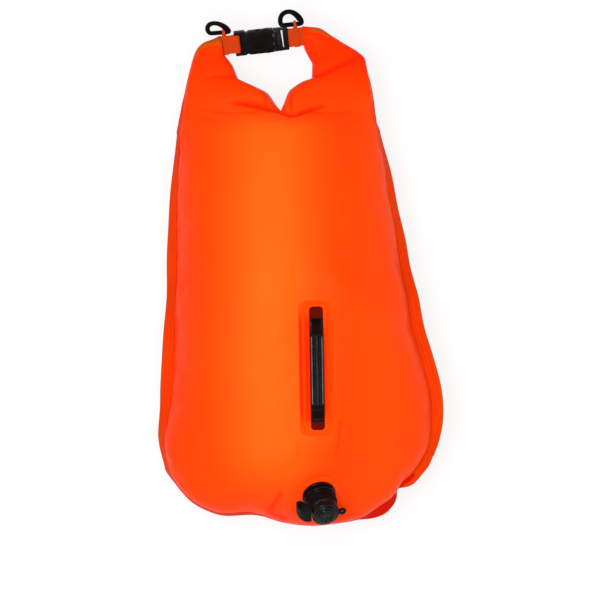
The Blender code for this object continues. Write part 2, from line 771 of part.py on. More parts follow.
def make_plug(plastic, holder):
    bar_end = PLUG_BAR_X + BAR_DIAMETER / 2 + BUCKLE_EDGE
    upper = [
        (PLUG_BLOCK, LUG_INSIDE), (bar_end, LUG_INSIDE), (bar_end, PLUG_BAR_HALF_HEIGHT),
        (PLUG_BLOCK, PLUG_HALF_HEIGHT), (CLEARANCE, PLUG_HALF_HEIGHT),
    ]
    plug = add_object("buckle_plug", prism(mirrored(upper), -PLUG_HALF_DEPTH, PLUG_HALF_DEPTH), plastic,
                      holder)
    bevel(plug, BUCKLE_EDGE / 2)
    tongue_half = CAVITY_HALF_DEPTH - CLEARANCE
    tongue_outline = [
        (PLUG_BLOCK / 2, -TONGUE_HALF_HEIGHT), (PLUG_BLOCK / 2, TONGUE_HALF_HEIGHT),
        (-TONGUE_LENGTH * 0.8, TONGUE_HALF_HEIGHT * 0.8), (-TONGUE_LENGTH, TONGUE_HALF_HEIGHT * 0.4),
        (-TONGUE_LENGTH, -TONGUE_HALF_HEIGHT * 0.4), (-TONGUE_LENGTH * 0.8, -TONGUE_HALF_HEIGHT * 0.8),
    ]
    tongue = prism(tongue_outline, -tongue_half, tongue_half)
    boolean(plug, cutter("add_plug_tongue", tongue, holder), "UNION")
    bar = cross_bar(PLUG_BAR_X, (LUG_INSIDE + PLUG_BAR_HALF_HEIGHT) / 2)
    boolean(plug, cutter("add_plug_bar", bar, holder), "UNION")
    for side, label in ((1, "upper"), (-1, "lower")):
        root = []
        radius = PRONG_ROOT_RADIUS + CLEARANCE
        for k in range(9):
            angle = math.radians(-90 + 180 * k / 8)
            root.append((PRONG_ROOT_X + radius * math.cos(angle),
                         side * (PRONG_ROOT_Y + radius * math.sin(angle))))
        half_channel = PRONG_THICKNESS / 2 + PRONG_CHANNEL
        channel = [(PRONG_ROOT_X, side * (PRONG_ROOT_Y + radius)), (0, side * (PRONG_ROOT_Y + radius)),
                   (-OVERRUN, side * (PRONG_ROOT_Y + half_channel)),
                   (-OVERRUN, side * (PRONG_ROOT_Y - half_channel)),
                   (0, side * (PRONG_ROOT_Y - radius)), (PRONG_ROOT_X, side * (PRONG_ROOT_Y - radius))]
        seat = prism(root + channel[1:-1], -PRONG_HALF_DEPTH - CLEARANCE, PRONG_HALF_DEPTH + CLEARANCE)
        boolean(plug, cutter("cut_prong_seat_" + label, seat, holder))
    return plug


def prong_outline():
    """The spring arm from its round root to its tip, in a frame with the root at the origin."""
    half = PRONG_THICKNESS / 2
    root = []
    for k in range(9):
        angle = math.radians(-130 + 260 * k / 8)
        root.append((PRONG_ROOT_RADIUS * math.cos(angle), PRONG_ROOT_RADIUS * math.sin(angle)))
    shoulder_x = -(PRONG_ROOT_X + WINDOW_START + CLEARANCE)
    head_y = PRONG_HEAD - PRONG_ROOT_Y
    tip_x = -(PRONG_ROOT_X + PRONG_LENGTH)
    tip_y = PRONG_TIP - PRONG_ROOT_Y
    head = [
        (shoulder_x, half), (shoulder_x, head_y), (shoulder_x * 1.5, head_y),
        (shoulder_x * 1.7, head_y - half * 0.5), (shoulder_x * 2.0, head_y - half * 0.3),
        (tip_x * 0.7, head_y - half * 1.2), (tip_x, tip_y), (tip_x, tip_y - half),
        (tip_x * 0.8, -half * 1.2), (shoulder_x, -half),
    ]
    return root + head


def make_prongs(plastic, holder):
    for side, name in ((1, "prong_upper"), (-1, "prong_lower")):
        outline = [(x, side * y) for x, y in prong_outline()]
        prong = prism(outline, -PRONG_HALF_DEPTH, PRONG_HALF_DEPTH)
        place = Matrix.Translation((PRONG_ROOT_X, side * PRONG_ROOT_Y, 0))
        add_object(name, prong, plastic, holder, place)


def ring_bar_height():
    return WEBBING_WIDTH / 2 + RING_BAR_RISE


def tab_band(center_x, yaw, holder, webbing, name):
    """A webbing loop round the strap, with its top twisted to follow the ring's bar."""
    half_strap = WEBBING_THICKNESS + WEBBING_LAYER_GAP / 2
    low_radius = half_strap + CLEARANCE + TAB_THICKNESS / 2
    high_radius = TAB_TOP_RADIUS + TAB_THICKNESS / 2
    low_y = -WEBBING_WIDTH / 2
    high_y = ring_bar_height()
    shoulder_y = WEBBING_WIDTH / 2 - TAB_THICKNESS / 2
    twisted_y = high_y - TAB_TOP_RADIUS * 0.75
    path = [(shoulder_y, low_radius)]
    for k in range(9):
        angle = math.radians(-30 + 240 * k / 8)
        path.append((high_y + high_radius * math.sin(angle), high_radius * math.cos(angle)))
    path.append((shoulder_y, -low_radius))
    for k in range(7):
        angle = math.radians(180 * k / 6)
        path.append((low_y - low_radius * math.sin(angle), -low_radius * math.cos(angle)))
    path = path[::-1]

    def place(point, station):
        twist = smooth_step((point.x - shoulder_y) / (twisted_y - shoulder_y))
        return Vector((center_x + station, point.x, point.y + station * math.tan(yaw) * twist))

    stations = [TAB_WIDTH * (k / 3 - 0.5) for k in range(4)]
    band = ribbon(path, TAB_THICKNESS / 2, stations, place, closed=True)
    add_object(name, band, webbing, holder)


def ring_path():
    """Centre line of the D, with its bar on the X axis."""
    half = (RING_WIDTH - RING_BAND) / 2
    rise = RING_HEIGHT - RING_BAND - RING_SHOULDER
    path = [(-half + RING_SHOULDER, 0), (half - RING_SHOULDER, 0), (half - RING_SHOULDER * 0.25,
                                                                   RING_SHOULDER * 0.3)]
    for k in range(11):
        angle = math.pi * k / 10
        path.append((half * math.cos(angle), RING_SHOULDER + rise * math.sin(angle)))
    path.append((-half + RING_SHOULDER * 0.25, RING_SHOULDER * 0.3))
    return path


def make_ring(name, tab_x, yaw, lean, roll, slide, plastic, holder):
    """A D-ring whose origin is on the axis of its bar."""
    path = [Vector(p) for p in ring_path()]
    inner, outer = offset_path(path, RING_BAND / 2, closed=True)
    rings = []
    half = RING_THICKNESS / 2
    edge = RING_THICKNESS / 4
    for a, b in zip(inner, outer):
        across = (b - a).normalized() * edge
        section = [(a, half - edge), (a + across, half), (b - across, half), (b, half - edge),
                   (b, edge - half), (b - across, -half), (a + across, -half), (a, edge - half)]
        rings.append([Vector((p.x, p.y, z)) for p, z in section])
    turn = Matrix.Rotation(-yaw, 4, "Y") @ Matrix.Rotation(lean, 4, "X") @ Matrix.Rotation(roll, 4, "Z")
    place = Matrix.Translation((tab_x, ring_bar_height(), 0)) @ turn @ Matrix.Translation((-slide, 0, 0))
    return add_object(name, loft(rings, cyclic=True), plastic, holder, place)


def make_grip_patch(fabric, holder):
    outline = rounded_rectangle(GRIP_PATCH_WIDTH, GRIP_PATCH_LENGTH, GRIP_PATCH_CORNER)
    slot = rounded_rectangle(GRIP_SLOT_WIDTH, GRIP_SLOT_LENGTH, GRIP_SLOT_CORNER)
    low = skin_top()
    high = low + GRIP_PATCH_THICKNESS
    patch = add_object("grip_patch", prism(outline, low, high), fabric, holder)
    boolean(patch, cutter("cut_grip_slot", prism(slot, -OVERRUN, high + OVERRUN), holder))
    for side, label in ((1, "top"), (-1, "bottom")):
        center = foot_center(side)
        half = GRIP_FOOT_LENGTH / 2 + CLEARANCE
        width = GRIP_FOOT_WIDTH / 2 + CLEARANCE
        pocket = [(-width, center - half), (width, center - half), (width, center + half),
                  (-width, center + half)]
        depth = low + GRIP_FOOT_THICKNESS + CLEARANCE
        boolean(patch, cutter("cut_foot_pocket_" + label, prism(pocket, -OVERRUN, depth), holder))


def skin_top():
    """Height of a piece that lies on the front panel, above the frame's plane."""
    return CLEARANCE / 2 + SKIN + CLEARANCE


def foot_center(side):
    return side * (GRIP_LENGTH / 2 - GRIP_FOOT_LENGTH / 2) - GRIP_SHIFT


def grip_path(count):
    """Centre line of the bow: place along the slot and height above the feet."""
    half = GRIP_LENGTH / 2
    flat = GRIP_MAIN_LENGTH / 2
    points = []
    for k in range(count + 1):
        place = -half + 2 * half * k / count
        rise = smooth_step((half - abs(place)) / (half - flat))
        points.append((place, rise * GRIP_RISE))
    return points


def make_grip(plastic, holder):
    base = skin_top() + GRIP_THICKNESS / 2
    count = 30
    path = [Vector(p) for p in grip_path(count)]
    under, over = offset_path(path, GRIP_THICKNESS / 2)
    rings = []
    for point, low, high in zip(path, over, under):
        main = smooth_step((GRIP_MAIN_LENGTH / 2 + GRIP_THICKNESS - abs(point.x)) / GRIP_THICKNESS)
        half = GRIP_NECK_WIDTH / 2 + (GRIP_WIDTH - GRIP_NECK_WIDTH) / 2 * main
        if point.x < -GRIP_MAIN_LENGTH / 2:
            half = GRIP_WIDTH / 2
        groove = GRIP_GROOVE_DEPTH * main / GRIP_THICKNESS
        section = [(-1.0, 0.15), (-0.85, 0.0), (0.85, 0.0), (1.0, 0.15), (1.0, 0.85), (0.85, 1.0),
                   (0.68, 1.0), (0.55, 1 - groove), (0.28, 1 - groove), (0.18, 1.0), (-0.18, 1.0),
                   (-0.28, 1 - groove), (-0.55, 1 - groove), (-0.68, 1.0), (-0.85, 1.0), (-1.0, 0.85)]
        ring = []
        for across_share, up_share in section:
            spot = low.lerp(high, up_share)
            ring.append(Vector((across_share * half, spot.x - GRIP_SHIFT, base + spot.y)))
        rings.append(ring)
    grip = add_object("grip", loft(rings), plastic, holder)
    for side, label in ((1, "top"), (-1, "bottom")):
        center = foot_center(side)
        half = GRIP_FOOT_LENGTH / 2
        width = GRIP_FOOT_WIDTH / 2
        outline = [(-width, center - half), (width, center - half), (width, center + half),
                   (-width, center + half)]
        foot = prism(outline, skin_top(), skin_top() + GRIP_FOOT_THICKNESS)
        boolean(grip, cutter("add_grip_foot_" + label, foot, holder), "UNION")
    return grip


def ring_profile(inner, outer, low, high, rounding):
    """A ring's section with its outer edges rounded over."""
    return [(inner, low), (outer - rounding, low), (outer, low + rounding), (outer, high - rounding),
            (outer - rounding, high), (inner, high)]


def add_turned(name, profile, mat, holder):
    return add_object(name, revolve(profile, VALVE_SEGMENTS), mat, holder)


def make_valve(plastic, rubber, fabric, holder, front_panel, inner_bag):
    low = skin_top()
    patch_top = low + VALVE_PATCH_THICKNESS
    patch = ring_profile(PANEL_HOLE_RADIUS, VALVE_PATCH_RADIUS, low, patch_top, VALVE_PATCH_THICKNESS / 3)
    add_turned("valve_patch", patch, fabric, holder)
    hole = revolve([(0, -OVERRUN), (PANEL_HOLE_RADIUS, -OVERRUN), (PANEL_HOLE_RADIUS, OVERRUN),
                    (0, OVERRUN)], VALVE_SEGMENTS)
    boolean(front_panel, cutter("cut_panel_hole", hole, holder))
    well_radius = PANEL_HOLE_RADIUS + CLEARANCE
    well_low = -BASE_STUB - FLAP_TRAVEL - FLAP_THICKNESS - OVERRUN
    well = revolve([(0, well_low), (well_radius, well_low), (well_radius, OVERRUN), (0, OVERRUN)],
                   VALVE_SEGMENTS)
    boolean(inner_bag, cutter("cut_valve_well", well, holder))

    foot = patch_top + CLEARANCE
    flange_top = foot + BASE_FLANGE_THICKNESS
    ring_low = flange_top + BASE_FLANGE_THICKNESS * 0.9
    ring_high = ring_low + BASE_FLANGE_THICKNESS
    base_profile = [
        (BASE_BORE, -BASE_STUB), (BASE_STUB_RADIUS, -BASE_STUB), (BASE_STUB_RADIUS, foot),
        (BASE_FLANGE_RADIUS - ROUND_OVER, foot), (BASE_FLANGE_RADIUS, foot + ROUND_OVER),
        (BASE_FLANGE_RADIUS, flange_top - ROUND_OVER), (BASE_FLANGE_RADIUS - ROUND_OVER, flange_top),
        (BASE_WAIST_RADIUS, flange_top + ROUND_OVER / 2), (BASE_WAIST_RADIUS, ring_low),
        (BASE_RING_RADIUS - ROUND_OVER, ring_low), (BASE_RING_RADIUS, ring_low + ROUND_OVER),
        (BASE_RING_RADIUS, ring_high - ROUND_OVER), (BASE_RING_RADIUS - ROUND_OVER, ring_high),
        (BASE_WAIST_RADIUS, ring_high + ROUND_OVER / 2), (BASE_WAIST_RADIUS, BASE_HEIGHT),
        (BASE_BORE, BASE_HEIGHT),
    ]
    add_turned("valve_base", base_profile, plastic, holder)

    seal_low = BASE_HEIGHT + CLEARANCE
    seal_high = seal_low + SEAL_THICKNESS
    seal = ring_profile(BASE_BORE, BASE_WAIST_RADIUS - ROUND_OVER, seal_low, seal_high, SEAL_THICKNESS / 3)
    add_turned("valve_seal", seal, rubber, holder)

    collar_low = seal_high + CLEARANCE
    collar_high = collar_low + COLLAR_THICKNESS
    neck_high = collar_high + INSERT_NECK_HEIGHT
    tube_low = -BASE_STUB + FLAP_THICKNESS + CLEARANCE
    insert_profile = [
        (INSERT_BORE, tube_low), (INSERT_TUBE_RADIUS, tube_low), (INSERT_TUBE_RADIUS, collar_low),
        (COLLAR_RADIUS - ROUND_OVER, collar_low), (COLLAR_RADIUS, collar_low + ROUND_OVER),
        (COLLAR_RADIUS, collar_high - ROUND_OVER), (COLLAR_RADIUS - ROUND_OVER, collar_high),
        (INSERT_NECK_RADIUS, collar_high), (INSERT_NECK_RADIUS, neck_high - ROUND_OVER),
        (INSERT_NECK_RADIUS - ROUND_OVER, neck_high), (INSERT_BORE, neck_high),
    ]
    insert = add_turned("valve_insert", insert_profile, plastic, holder)
    spider_end = (INSERT_BORE + INSERT_TUBE_RADIUS) / 2
    half_arm = SPIDER_ARM / 2
    arm_x = prism([(-spider_end, -half_arm), (spider_end, -half_arm), (spider_end, half_arm),
                   (-spider_end, half_arm)], 0, SPIDER_THICKNESS)
    arm_y = prism([(-half_arm, -spider_end), (half_arm, -spider_end), (half_arm, spider_end),
                   (-half_arm, spider_end)], 0, SPIDER_THICKNESS)
    hub = revolve([(0, 0), (SPIDER_HUB_RADIUS, 0), (SPIDER_HUB_RADIUS, SPIDER_THICKNESS),
                   (0, SPIDER_THICKNESS)], 12)
    stem_hole_radius = STEM_RADIUS + CLEARANCE
    stem_hole = revolve([(0, -OVERRUN), (stem_hole_radius, -OVERRUN), (stem_hole_radius, OVERRUN),
                         (0, OVERRUN)], 12)
    boolean(insert, cutter("add_spider_x", arm_x, holder), "UNION")
    boolean(insert, cutter("add_spider_y", arm_y, holder), "UNION")
    boolean(insert, cutter("add_spider_hub", hub, holder), "UNION")
    boolean(insert, cutter("cut_stem_hole", stem_hole, holder))

    bead_low = SPIDER_THICKNESS + FLAP_TRAVEL + CLEARANCE
    flap_top = tube_low - CLEARANCE
    flap_profile = [
        (0, flap_top - FLAP_THICKNESS), (FLAP_RADIUS, flap_top - FLAP_THICKNESS / 2),
        (FLAP_RADIUS, flap_top), (STEM_RADIUS, flap_top), (STEM_RADIUS, bead_low),
        (BEAD_RADIUS, bead_low), (BEAD_RADIUS, bead_low + BEAD_RADIUS / 2),
        (BEAD_RADIUS / 2, bead_low + BEAD_RADIUS), (0, bead_low + BEAD_RADIUS),
    ]
    add_object("check_flap", revolve(flap_profile, 20), rubber, holder)

    tether_low = collar_high + CLEARANCE
    tether_high = tether_low + TETHER_THICKNESS
    skirt_low = tether_high + CLEARANCE
    cap_high = skirt_low + CAP_HEIGHT
    roof = neck_high + CLEARANCE
    plug_low = roof - CAP_PLUG_LENGTH
    groove_low = plug_low + CAP_SEAL_HEIGHT / 2
    groove_high = groove_low + CAP_SEAL_HEIGHT + CLEARANCE
    groove_radius = CAP_PLUG_RADIUS - CAP_SEAL_DEPTH - CLEARANCE
    skirt_inside = INSERT_NECK_RADIUS + CLEARANCE
    cap_profile = [
        (0, plug_low), (CAP_PLUG_RADIUS - CLEARANCE, plug_low), (CAP_PLUG_RADIUS - CLEARANCE, groove_low),
        (groove_radius, groove_low), (groove_radius, groove_high),
        (CAP_PLUG_RADIUS - CLEARANCE, groove_high), (CAP_PLUG_RADIUS - CLEARANCE, roof),
        (skirt_inside, roof), (skirt_inside, skirt_low), (CAP_RADIUS - 2 * ROUND_OVER, skirt_low),
        (CAP_RADIUS - ROUND_OVER, skirt_low + ROUND_OVER), (CAP_RADIUS - ROUND_OVER, roof - ROUND_OVER),
        (CAP_RADIUS, roof), (CAP_RADIUS, cap_high - CAP_TOP),
        (CAP_RADIUS - ROUND_OVER, cap_high - CAP_TOP + ROUND_OVER),
        (CAP_RADIUS - CAP_TOP, cap_high - ROUND_OVER / 2), (CAP_DISC_RADIUS + ROUND_OVER, cap_high),
        (CAP_DISC_RADIUS, cap_high - CAP_DISC_DEPTH), (0, cap_high - CAP_DISC_DEPTH),
    ]
    cap = add_turned("valve_cap", cap_profile, plastic, holder)
    pull_height = roof + (cap_high - roof) / 2
    pull_low = pull_height - TAB_RING_BAND
    pull_high = pull_height + TAB_RING_BAND
    pull_inner = TAB_RING_RADIUS - 2 * TAB_RING_BAND
    pull = revolve([(pull_inner, pull_low), (TAB_RING_RADIUS, pull_low), (TAB_RING_RADIUS, pull_high),
                    (pull_inner, pull_high)], 16)
    pull_place = Matrix.Translation((CAP_RADIUS + TAB_RING_RADIUS - TAB_RING_BAND, 0, 0))
    boolean(cap, cutter("add_pull_tab", pull, holder, pull_place), "UNION")

    seal_outer = CAP_PLUG_RADIUS - CLEARANCE / 2
    cap_seal = ring_profile(groove_radius + CLEARANCE / 2, seal_outer, groove_low + CLEARANCE / 2,
                            groove_high - CLEARANCE / 2, CAP_SEAL_DEPTH / 3)
    add_turned("cap_seal", cap_seal, rubber, holder)

    tether_ring = ring_profile(INSERT_NECK_RADIUS + CLEARANCE, COLLAR_RADIUS - ROUND_OVER, tether_low,
                               tether_high, TETHER_THICKNESS / 4)
    tether = add_turned("valve_tether", tether_ring, rubber, holder)
    middle = (tether_low + tether_high) / 2
    start = COLLAR_RADIUS - 3 * ROUND_OVER
    reach = CAP_RADIUS + TETHER_REACH
    end_height = pull_height
    path = [(-start, middle), (-reach * 0.8, middle), (-reach * 0.93, middle + TETHER_THICKNESS * 0.7),
            (-reach, (middle + end_height) / 2), (-reach * 0.93, end_height - TETHER_THICKNESS * 0.7),
            (-reach * 0.8, end_height), (-CAP_RADIUS - CLEARANCE * 2, end_height)]
    half_width = TETHER_WIDTH / 2
    band = ribbon(path, TETHER_THICKNESS / 2, (-half_width, half_width), lambda p, s: Vector((p.x, s, p.y)))
    boolean(tether, cutter("add_tether_band", band, holder), "UNION")


def build():
    clear_scene()
    fabric = material("orange_fabric", (1.0, 0.10, 0.006), 0.38)
    inner_fabric = material("inner_fabric", (0.85, 0.16, 0.03), 0.5)
    webbing = material("orange_webbing", (0.72, 0.05, 0.005), 0.8)
    plastic = material("black_plastic", (0.012, 0.012, 0.013), 0.35)
    rubber = material("black_rubber", (0.02, 0.02, 0.02), 0.6)

    front_panel, inner_bag = make_bag(fabric, inner_fabric)
    strap = strap_frame()
    make_roll(fabric, strap)
    holder = empty("strap_frame", strap)
    make_webbing(webbing, holder)
    make_socket(plastic, holder)
    make_plug(plastic, holder)
    make_prongs(plastic, holder)
    tab_band(-TAB_LEFT_X, LEFT_RING_YAW, holder, webbing, "ring_tab_left")
    tab_band(TAB_RIGHT_X, RIGHT_RING_YAW, holder, webbing, "ring_tab_right")
    make_ring("d_ring_left", -TAB_LEFT_X, LEFT_RING_YAW, LEFT_RING_LEAN, LEFT_RING_ROLL, LEFT_RING_SLIDE,
              plastic, holder)
    make_ring("d_ring_right", TAB_RIGHT_X, RIGHT_RING_YAW, RIGHT_RING_LEAN, RIGHT_RING_ROLL,
              RIGHT_RING_SLIDE, plastic, holder)
    grip_holder = empty("grip_frame", grip_frame())
    make_grip_patch(fabric, grip_holder)
    make_grip(plastic, grip_holder)
    valve_holder = empty("valve_frame", valve_frame())
    make_valve(plastic, rubber, fabric, valve_holder, front_panel, inner_bag)


build()
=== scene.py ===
"""Swim buoy: the dressed model for renders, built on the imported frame. Metres."""
from math import cos, pi, radians, sin, tan

import bmesh
import bpy
import numpy as np
from mathutils import Matrix, Vector


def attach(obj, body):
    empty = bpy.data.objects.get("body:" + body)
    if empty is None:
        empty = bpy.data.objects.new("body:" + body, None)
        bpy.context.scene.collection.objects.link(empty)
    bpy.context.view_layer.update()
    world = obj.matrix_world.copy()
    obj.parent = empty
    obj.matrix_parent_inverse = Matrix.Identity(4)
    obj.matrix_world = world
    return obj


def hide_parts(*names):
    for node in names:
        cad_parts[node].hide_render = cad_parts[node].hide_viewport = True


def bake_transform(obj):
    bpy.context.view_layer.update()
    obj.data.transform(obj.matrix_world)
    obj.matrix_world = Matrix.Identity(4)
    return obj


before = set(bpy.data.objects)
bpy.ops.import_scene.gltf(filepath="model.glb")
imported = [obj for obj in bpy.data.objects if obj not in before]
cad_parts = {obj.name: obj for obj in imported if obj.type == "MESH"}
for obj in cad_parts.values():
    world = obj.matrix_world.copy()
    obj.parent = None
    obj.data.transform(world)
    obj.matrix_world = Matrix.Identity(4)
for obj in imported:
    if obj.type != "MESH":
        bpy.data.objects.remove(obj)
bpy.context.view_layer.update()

# sizes shared with the solids: the bag's width and length, the height of its seam and how far it bulges,
# the flange, the skin and the least gap, the bag's two ends, the arms' rise and where the neck parts
W, L = 0.305, 0.442
SEAM_Z, FRONT, BACK, NECK_DEPTH = 0.078, 0.08, 0.084, 0.028
FLANGE, SKIN, GAP = 0.014, 0.0009, 0.0003
LOW_Y, NECK_Y = -L * 0.4747, L * (1 - 0.4747)
RISE, SPLIT = 0.0802, 0.518
OUT = GAP / 2 + SKIN
LEFT_END, RIGHT_END, ROLL_HALF = -0.0565, 0.0325, 0.0098

# the photograph: metres to a pixel, its size, and the pixel that the plan's origin stands on
PIXEL, PHOTO, ORIGIN_X, ORIGIN_Y = 0.001076, 600, 300, 330

# outlines as shares of the bag's width and length
LEFT_EDGE = [(-0.476, 0.141), (-0.501, 0.219), (-0.494, 0.304), (-0.487, 0.414), (-0.473, 0.56),
             (-0.466, 0.706), (-0.452, 0.852), (-0.441, 0.925), (-0.423, 1.0)]
RIGHT_EDGE = [(0.476, 0.173), (0.497, 0.219), (0.506, 0.28), (0.497, 0.341), (0.469, 0.414),
              (0.437, 0.487), (0.416, 0.56), (0.388, 0.633), (0.37, 0.706), (0.346, 0.779),
              (0.321, 0.852), (0.293, 0.925), (0.265, 1.0)]
BOTTOM_EDGE = [(-0.476, 0.141), (-0.441, 0.097), (-0.388, 0.058), (-0.328, 0.034), (-0.265, 0.022),
               (-0.159, 0.026), (-0.053, 0.007), (0.053, 0.0), (0.194, 0.012), (0.3, 0.027),
               (0.36, 0.074), (0.416, 0.105), (0.476, 0.173)]
# share of the flange that faces the front, at shares of the way round the seam
FLANGE_SHOW = [(0.0, 0.18), (0.04, 0.46), (0.09, 0.62), (0.14, 0.77), (0.19, 0.8), (0.24, 0.95),
               (0.29, 0.82), (0.328, 0.46), (0.36, 0.28), (0.39, 0.2), (0.42, 0.19), (0.445, 0.15),
               (0.462, 0.03), (0.475, 0.01), (0.545, 0.01),
               (0.559, 0.1), (0.569, 0.45), (0.584, 0.73), (0.592, 0.66), (0.603, 0.46), (0.609, 0.6),
               (0.62, 0.82), (0.634, 0.8), (0.65, 0.76), (0.664, 0.82), (0.7, 1.0), (0.8, 0.98),
               (0.86, 0.75), (0.92, 0.6), (0.965, 0.25), (1.0, 0.15)]
# the notch at the lower right, as the share of the flange's width that is left
FLANGE_LEFT = [(0.0, 1.0), (0.597, 1.0), (0.603, 0.6), (0.608, 0.05), (0.61, 0.14), (0.613, 0.5),
               (0.618, 0.78), (0.625, 0.9), (0.636, 0.92), (0.65, 1.0), (1.0, 1.0)]
# parts of that way: the turned flap, the lobe above it, both painted deep red as shade, and where the cut
# rim stops
FLAP, LOBE, PLAIN_RIM = (0.552, 0.6085), (0.6085, 0.632), 0.9
DEPTHS = [(0.0, 0.0), (0.012, 0.2), (0.04, 0.4), (0.08, 0.575), (0.14, 0.74), (0.22, 0.88),
          (0.32, 0.97), (0.44, 1.0), (0.58, 0.985), (0.7, 0.92), (0.8, 0.81), (0.89, 0.64),
          (0.95, 0.49), (1.0, 0.35)]
LEFT_ARM = [(-0.423, 0.0, -0.068, 0.0), (-0.416, 0.134, -0.09, 0.134), (-0.406, 0.285, -0.116, 0.271),
            (-0.399, 0.4, -0.169, 0.376), (-0.392, 0.51, -0.219, 0.464),
            (-0.384, 0.62, -0.233, 0.58), (-0.378, 0.71, -0.243, 0.66),
            (-0.37, 0.8, -0.259, 0.736), (-0.36, 0.88, -0.267, 0.775),
            (-0.339, 0.953, -0.2715, 0.792), (-0.307, 0.99, -0.273, 0.797)]
RIGHT_ARM = [(0.265, 0.0, -0.066, 0.0), (0.261, 0.134, -0.054, 0.134), (0.254, 0.302, -0.036, 0.302),
             (0.248, 0.41, 0.006, 0.419), (0.243, 0.48, 0.044, 0.464), (0.236, 0.577, 0.046, 0.577),
             (0.2255, 0.75, 0.0465, 0.681), (0.196, 0.845, 0.036, 0.752), (0.1637, 0.913, 0.0265, 0.82),
             (0.1323, 0.987, 0.02, 0.868), (0.1023, 1.058, 0.0175, 0.9), (0.0706, 1.14, 0.0166, 0.916)]
ARM_EASE = 0.45

# where the strap, the grip and the valve stand
STRAP = (Matrix.Translation((-0.0935 * W, NECK_Y + RISE, SEAM_Z))
         @ Matrix.Rotation(radians(6.5), 4, "Z") @ Matrix.Rotation(radians(22), 4, "X"))
GRIP = (Matrix.Translation((0.0586 * W, LOW_Y + 0.0864 * L + 0.1324, SEAM_Z + FRONT - 0.003))
        @ Matrix.Rotation(radians(1), 4, "Z"))
VALVE = (Matrix.Translation((0.0623 * W, LOW_Y + 0.0864 * L, SEAM_Z + FRONT * 0.58))
         @ Matrix.Rotation(radians(40), 4, "X") @ Matrix.Rotation(radians(14), 4, "Y"))


# curves and tables
def on_plan(points):
    """Pixels of the photograph as places in the plan."""
    return np.array([((x - ORIGIN_X) * PIXEL, (ORIGIN_Y - y) * PIXEL) for x, y in points])


def pchip(table, at):
    """A smooth curve through a table that never overshoots it."""
    x = np.array([r[0] for r in table], float)
    y = np.array([r[1] for r in table], float)
    h = np.diff(x)
    d = np.diff(y) / h
    m = np.zeros(len(x))
    m[0], m[-1] = d[0], d[-1]
    for k in range(1, len(x) - 1):
        if d[k - 1] * d[k] > 0:
            a, b = 2 * h[k] + h[k - 1], h[k] + 2 * h[k - 1]
            m[k] = (a + b) / (a / d[k - 1] + b / d[k])
    at = np.clip(np.asarray(at, float), x[0], x[-1])
    i = np.clip(np.searchsorted(x, at, "right") - 1, 0, len(h) - 1)
    t = (at - x[i]) / h[i]
    return (y[i] * (1 + 2 * t) * (1 - t) ** 2 + h[i] * m[i] * t * (1 - t) ** 2
            + y[i + 1] * t * t * (3 - 2 * t) + h[i] * m[i + 1] * t * t * (t - 1))


def travel_along(line):
    return np.concatenate([[0], np.cumsum(np.linalg.norm(np.diff(line, axis=0), axis=1))])


def share_of_length(line):
    travel = travel_along(line)
    return travel / travel[-1]


def curve(points, places, steps=16, ease=1.0, before=None, after=None):
    """Points of a curve through the given ones, at shares of its length; ease 0 is straight runs.
    Points before and after it, where given, steer its ends."""
    p = [np.array(q, float) for q in points]
    first = 2 * p[0] - p[1] if before is None else np.array(before)
    last = 2 * p[-1] - p[-2] if after is None else np.array(after)
    p = [first] + p + [last]
    fine = []
    for a, b, c, d in zip(p, p[1:], p[2:], p[3:]):
        start, end = ease * (c - a) / 2, ease * (d - b) / 2
        for i in range(steps):
            t = i / steps
            fine.append(b + start * t + (3 * (c - b) - 2 * start - end) * t ** 2
                        + (2 * (b - c) + start + end) * t ** 3)
    fine = np.array(fine + [p[-2]])
    travel = travel_along(fine)
    at = np.asarray(places) * travel[-1]
    return np.stack([np.interp(at, travel, fine[:, k]) for k in range(fine.shape[1])], axis=1)


def step(v):
    v = np.clip(v, 0, 1)
    return v * v * (3 - 2 * v)


def lens(u):
    return np.sqrt(np.clip(4 * u * (1 - u), 0, None))


def plan(shares):
    return [(x * W, LOW_Y + y * L) for x, y in shares]


def unit(rows):
    return rows / np.linalg.norm(rows, axis=1)[:, None]


def spread(half, count):
    """Places from -half to half, closer together towards both ends."""
    return half * np.sin(np.linspace(-pi / 2, pi / 2, count))


def arc(x, y, wide, tall, start, end, count):
    """Points of an ellipse between two angles in degrees."""
    return [(x + wide * cos(a), y + tall * sin(a)) for a in np.radians(np.linspace(start, end, count))]


def rectangle(x0, x1, y0, y1):
    return [(x0, y0), (x1, y0), (x1, y1), (x0, y1)]


def flipped(outline, side):
    return [(x, side * y) for x, y in outline]


def polyline_distance(xy, line):
    """Signed distance of points to a line in the plan, and the share of the line where it is."""
    best = np.full(len(xy), 9.0)
    side, share = np.zeros(len(xy)), np.zeros(len(xy))
    start = travel_along(line)
    for a, b, before in zip(line, line[1:], start):
        length = np.linalg.norm(b - a)
        d = (b - a) / length
        along = np.clip((xy - a) @ d, 0, length)
        off = xy - a - along[:, None] * d
        dist = np.linalg.norm(off, axis=1)
        near = dist < best
        best[near] = dist[near]
        side[near] = np.sign(off @ np.array([-d[1], d[0]]))[near]
        share[near] = ((before + along) / start[-1])[near]
    return best * side, share


def placed(points, matrix):
    matrix = np.array(matrix)
    return points @ matrix[:3, :3].T + matrix[:3, 3]


# meshes
def link_object(name, data):
    obj = bpy.data.objects.new(name, data)
    bpy.context.scene.collection.objects.link(obj)
    return obj


def mesh_object(name, verts, faces, mat, sharp=None):
    mesh = bpy.data.meshes.new(name)
    mesh.from_pydata([tuple(v) for v in verts], [], [tuple(int(i) for i in f) for f in faces])
    mesh.validate()
    mesh.shade_smooth()
    if sharp is not None:
        mesh.set_sharp_from_angle(angle=radians(sharp))
    mesh.materials.append(mat)
    return link_object(name, mesh)


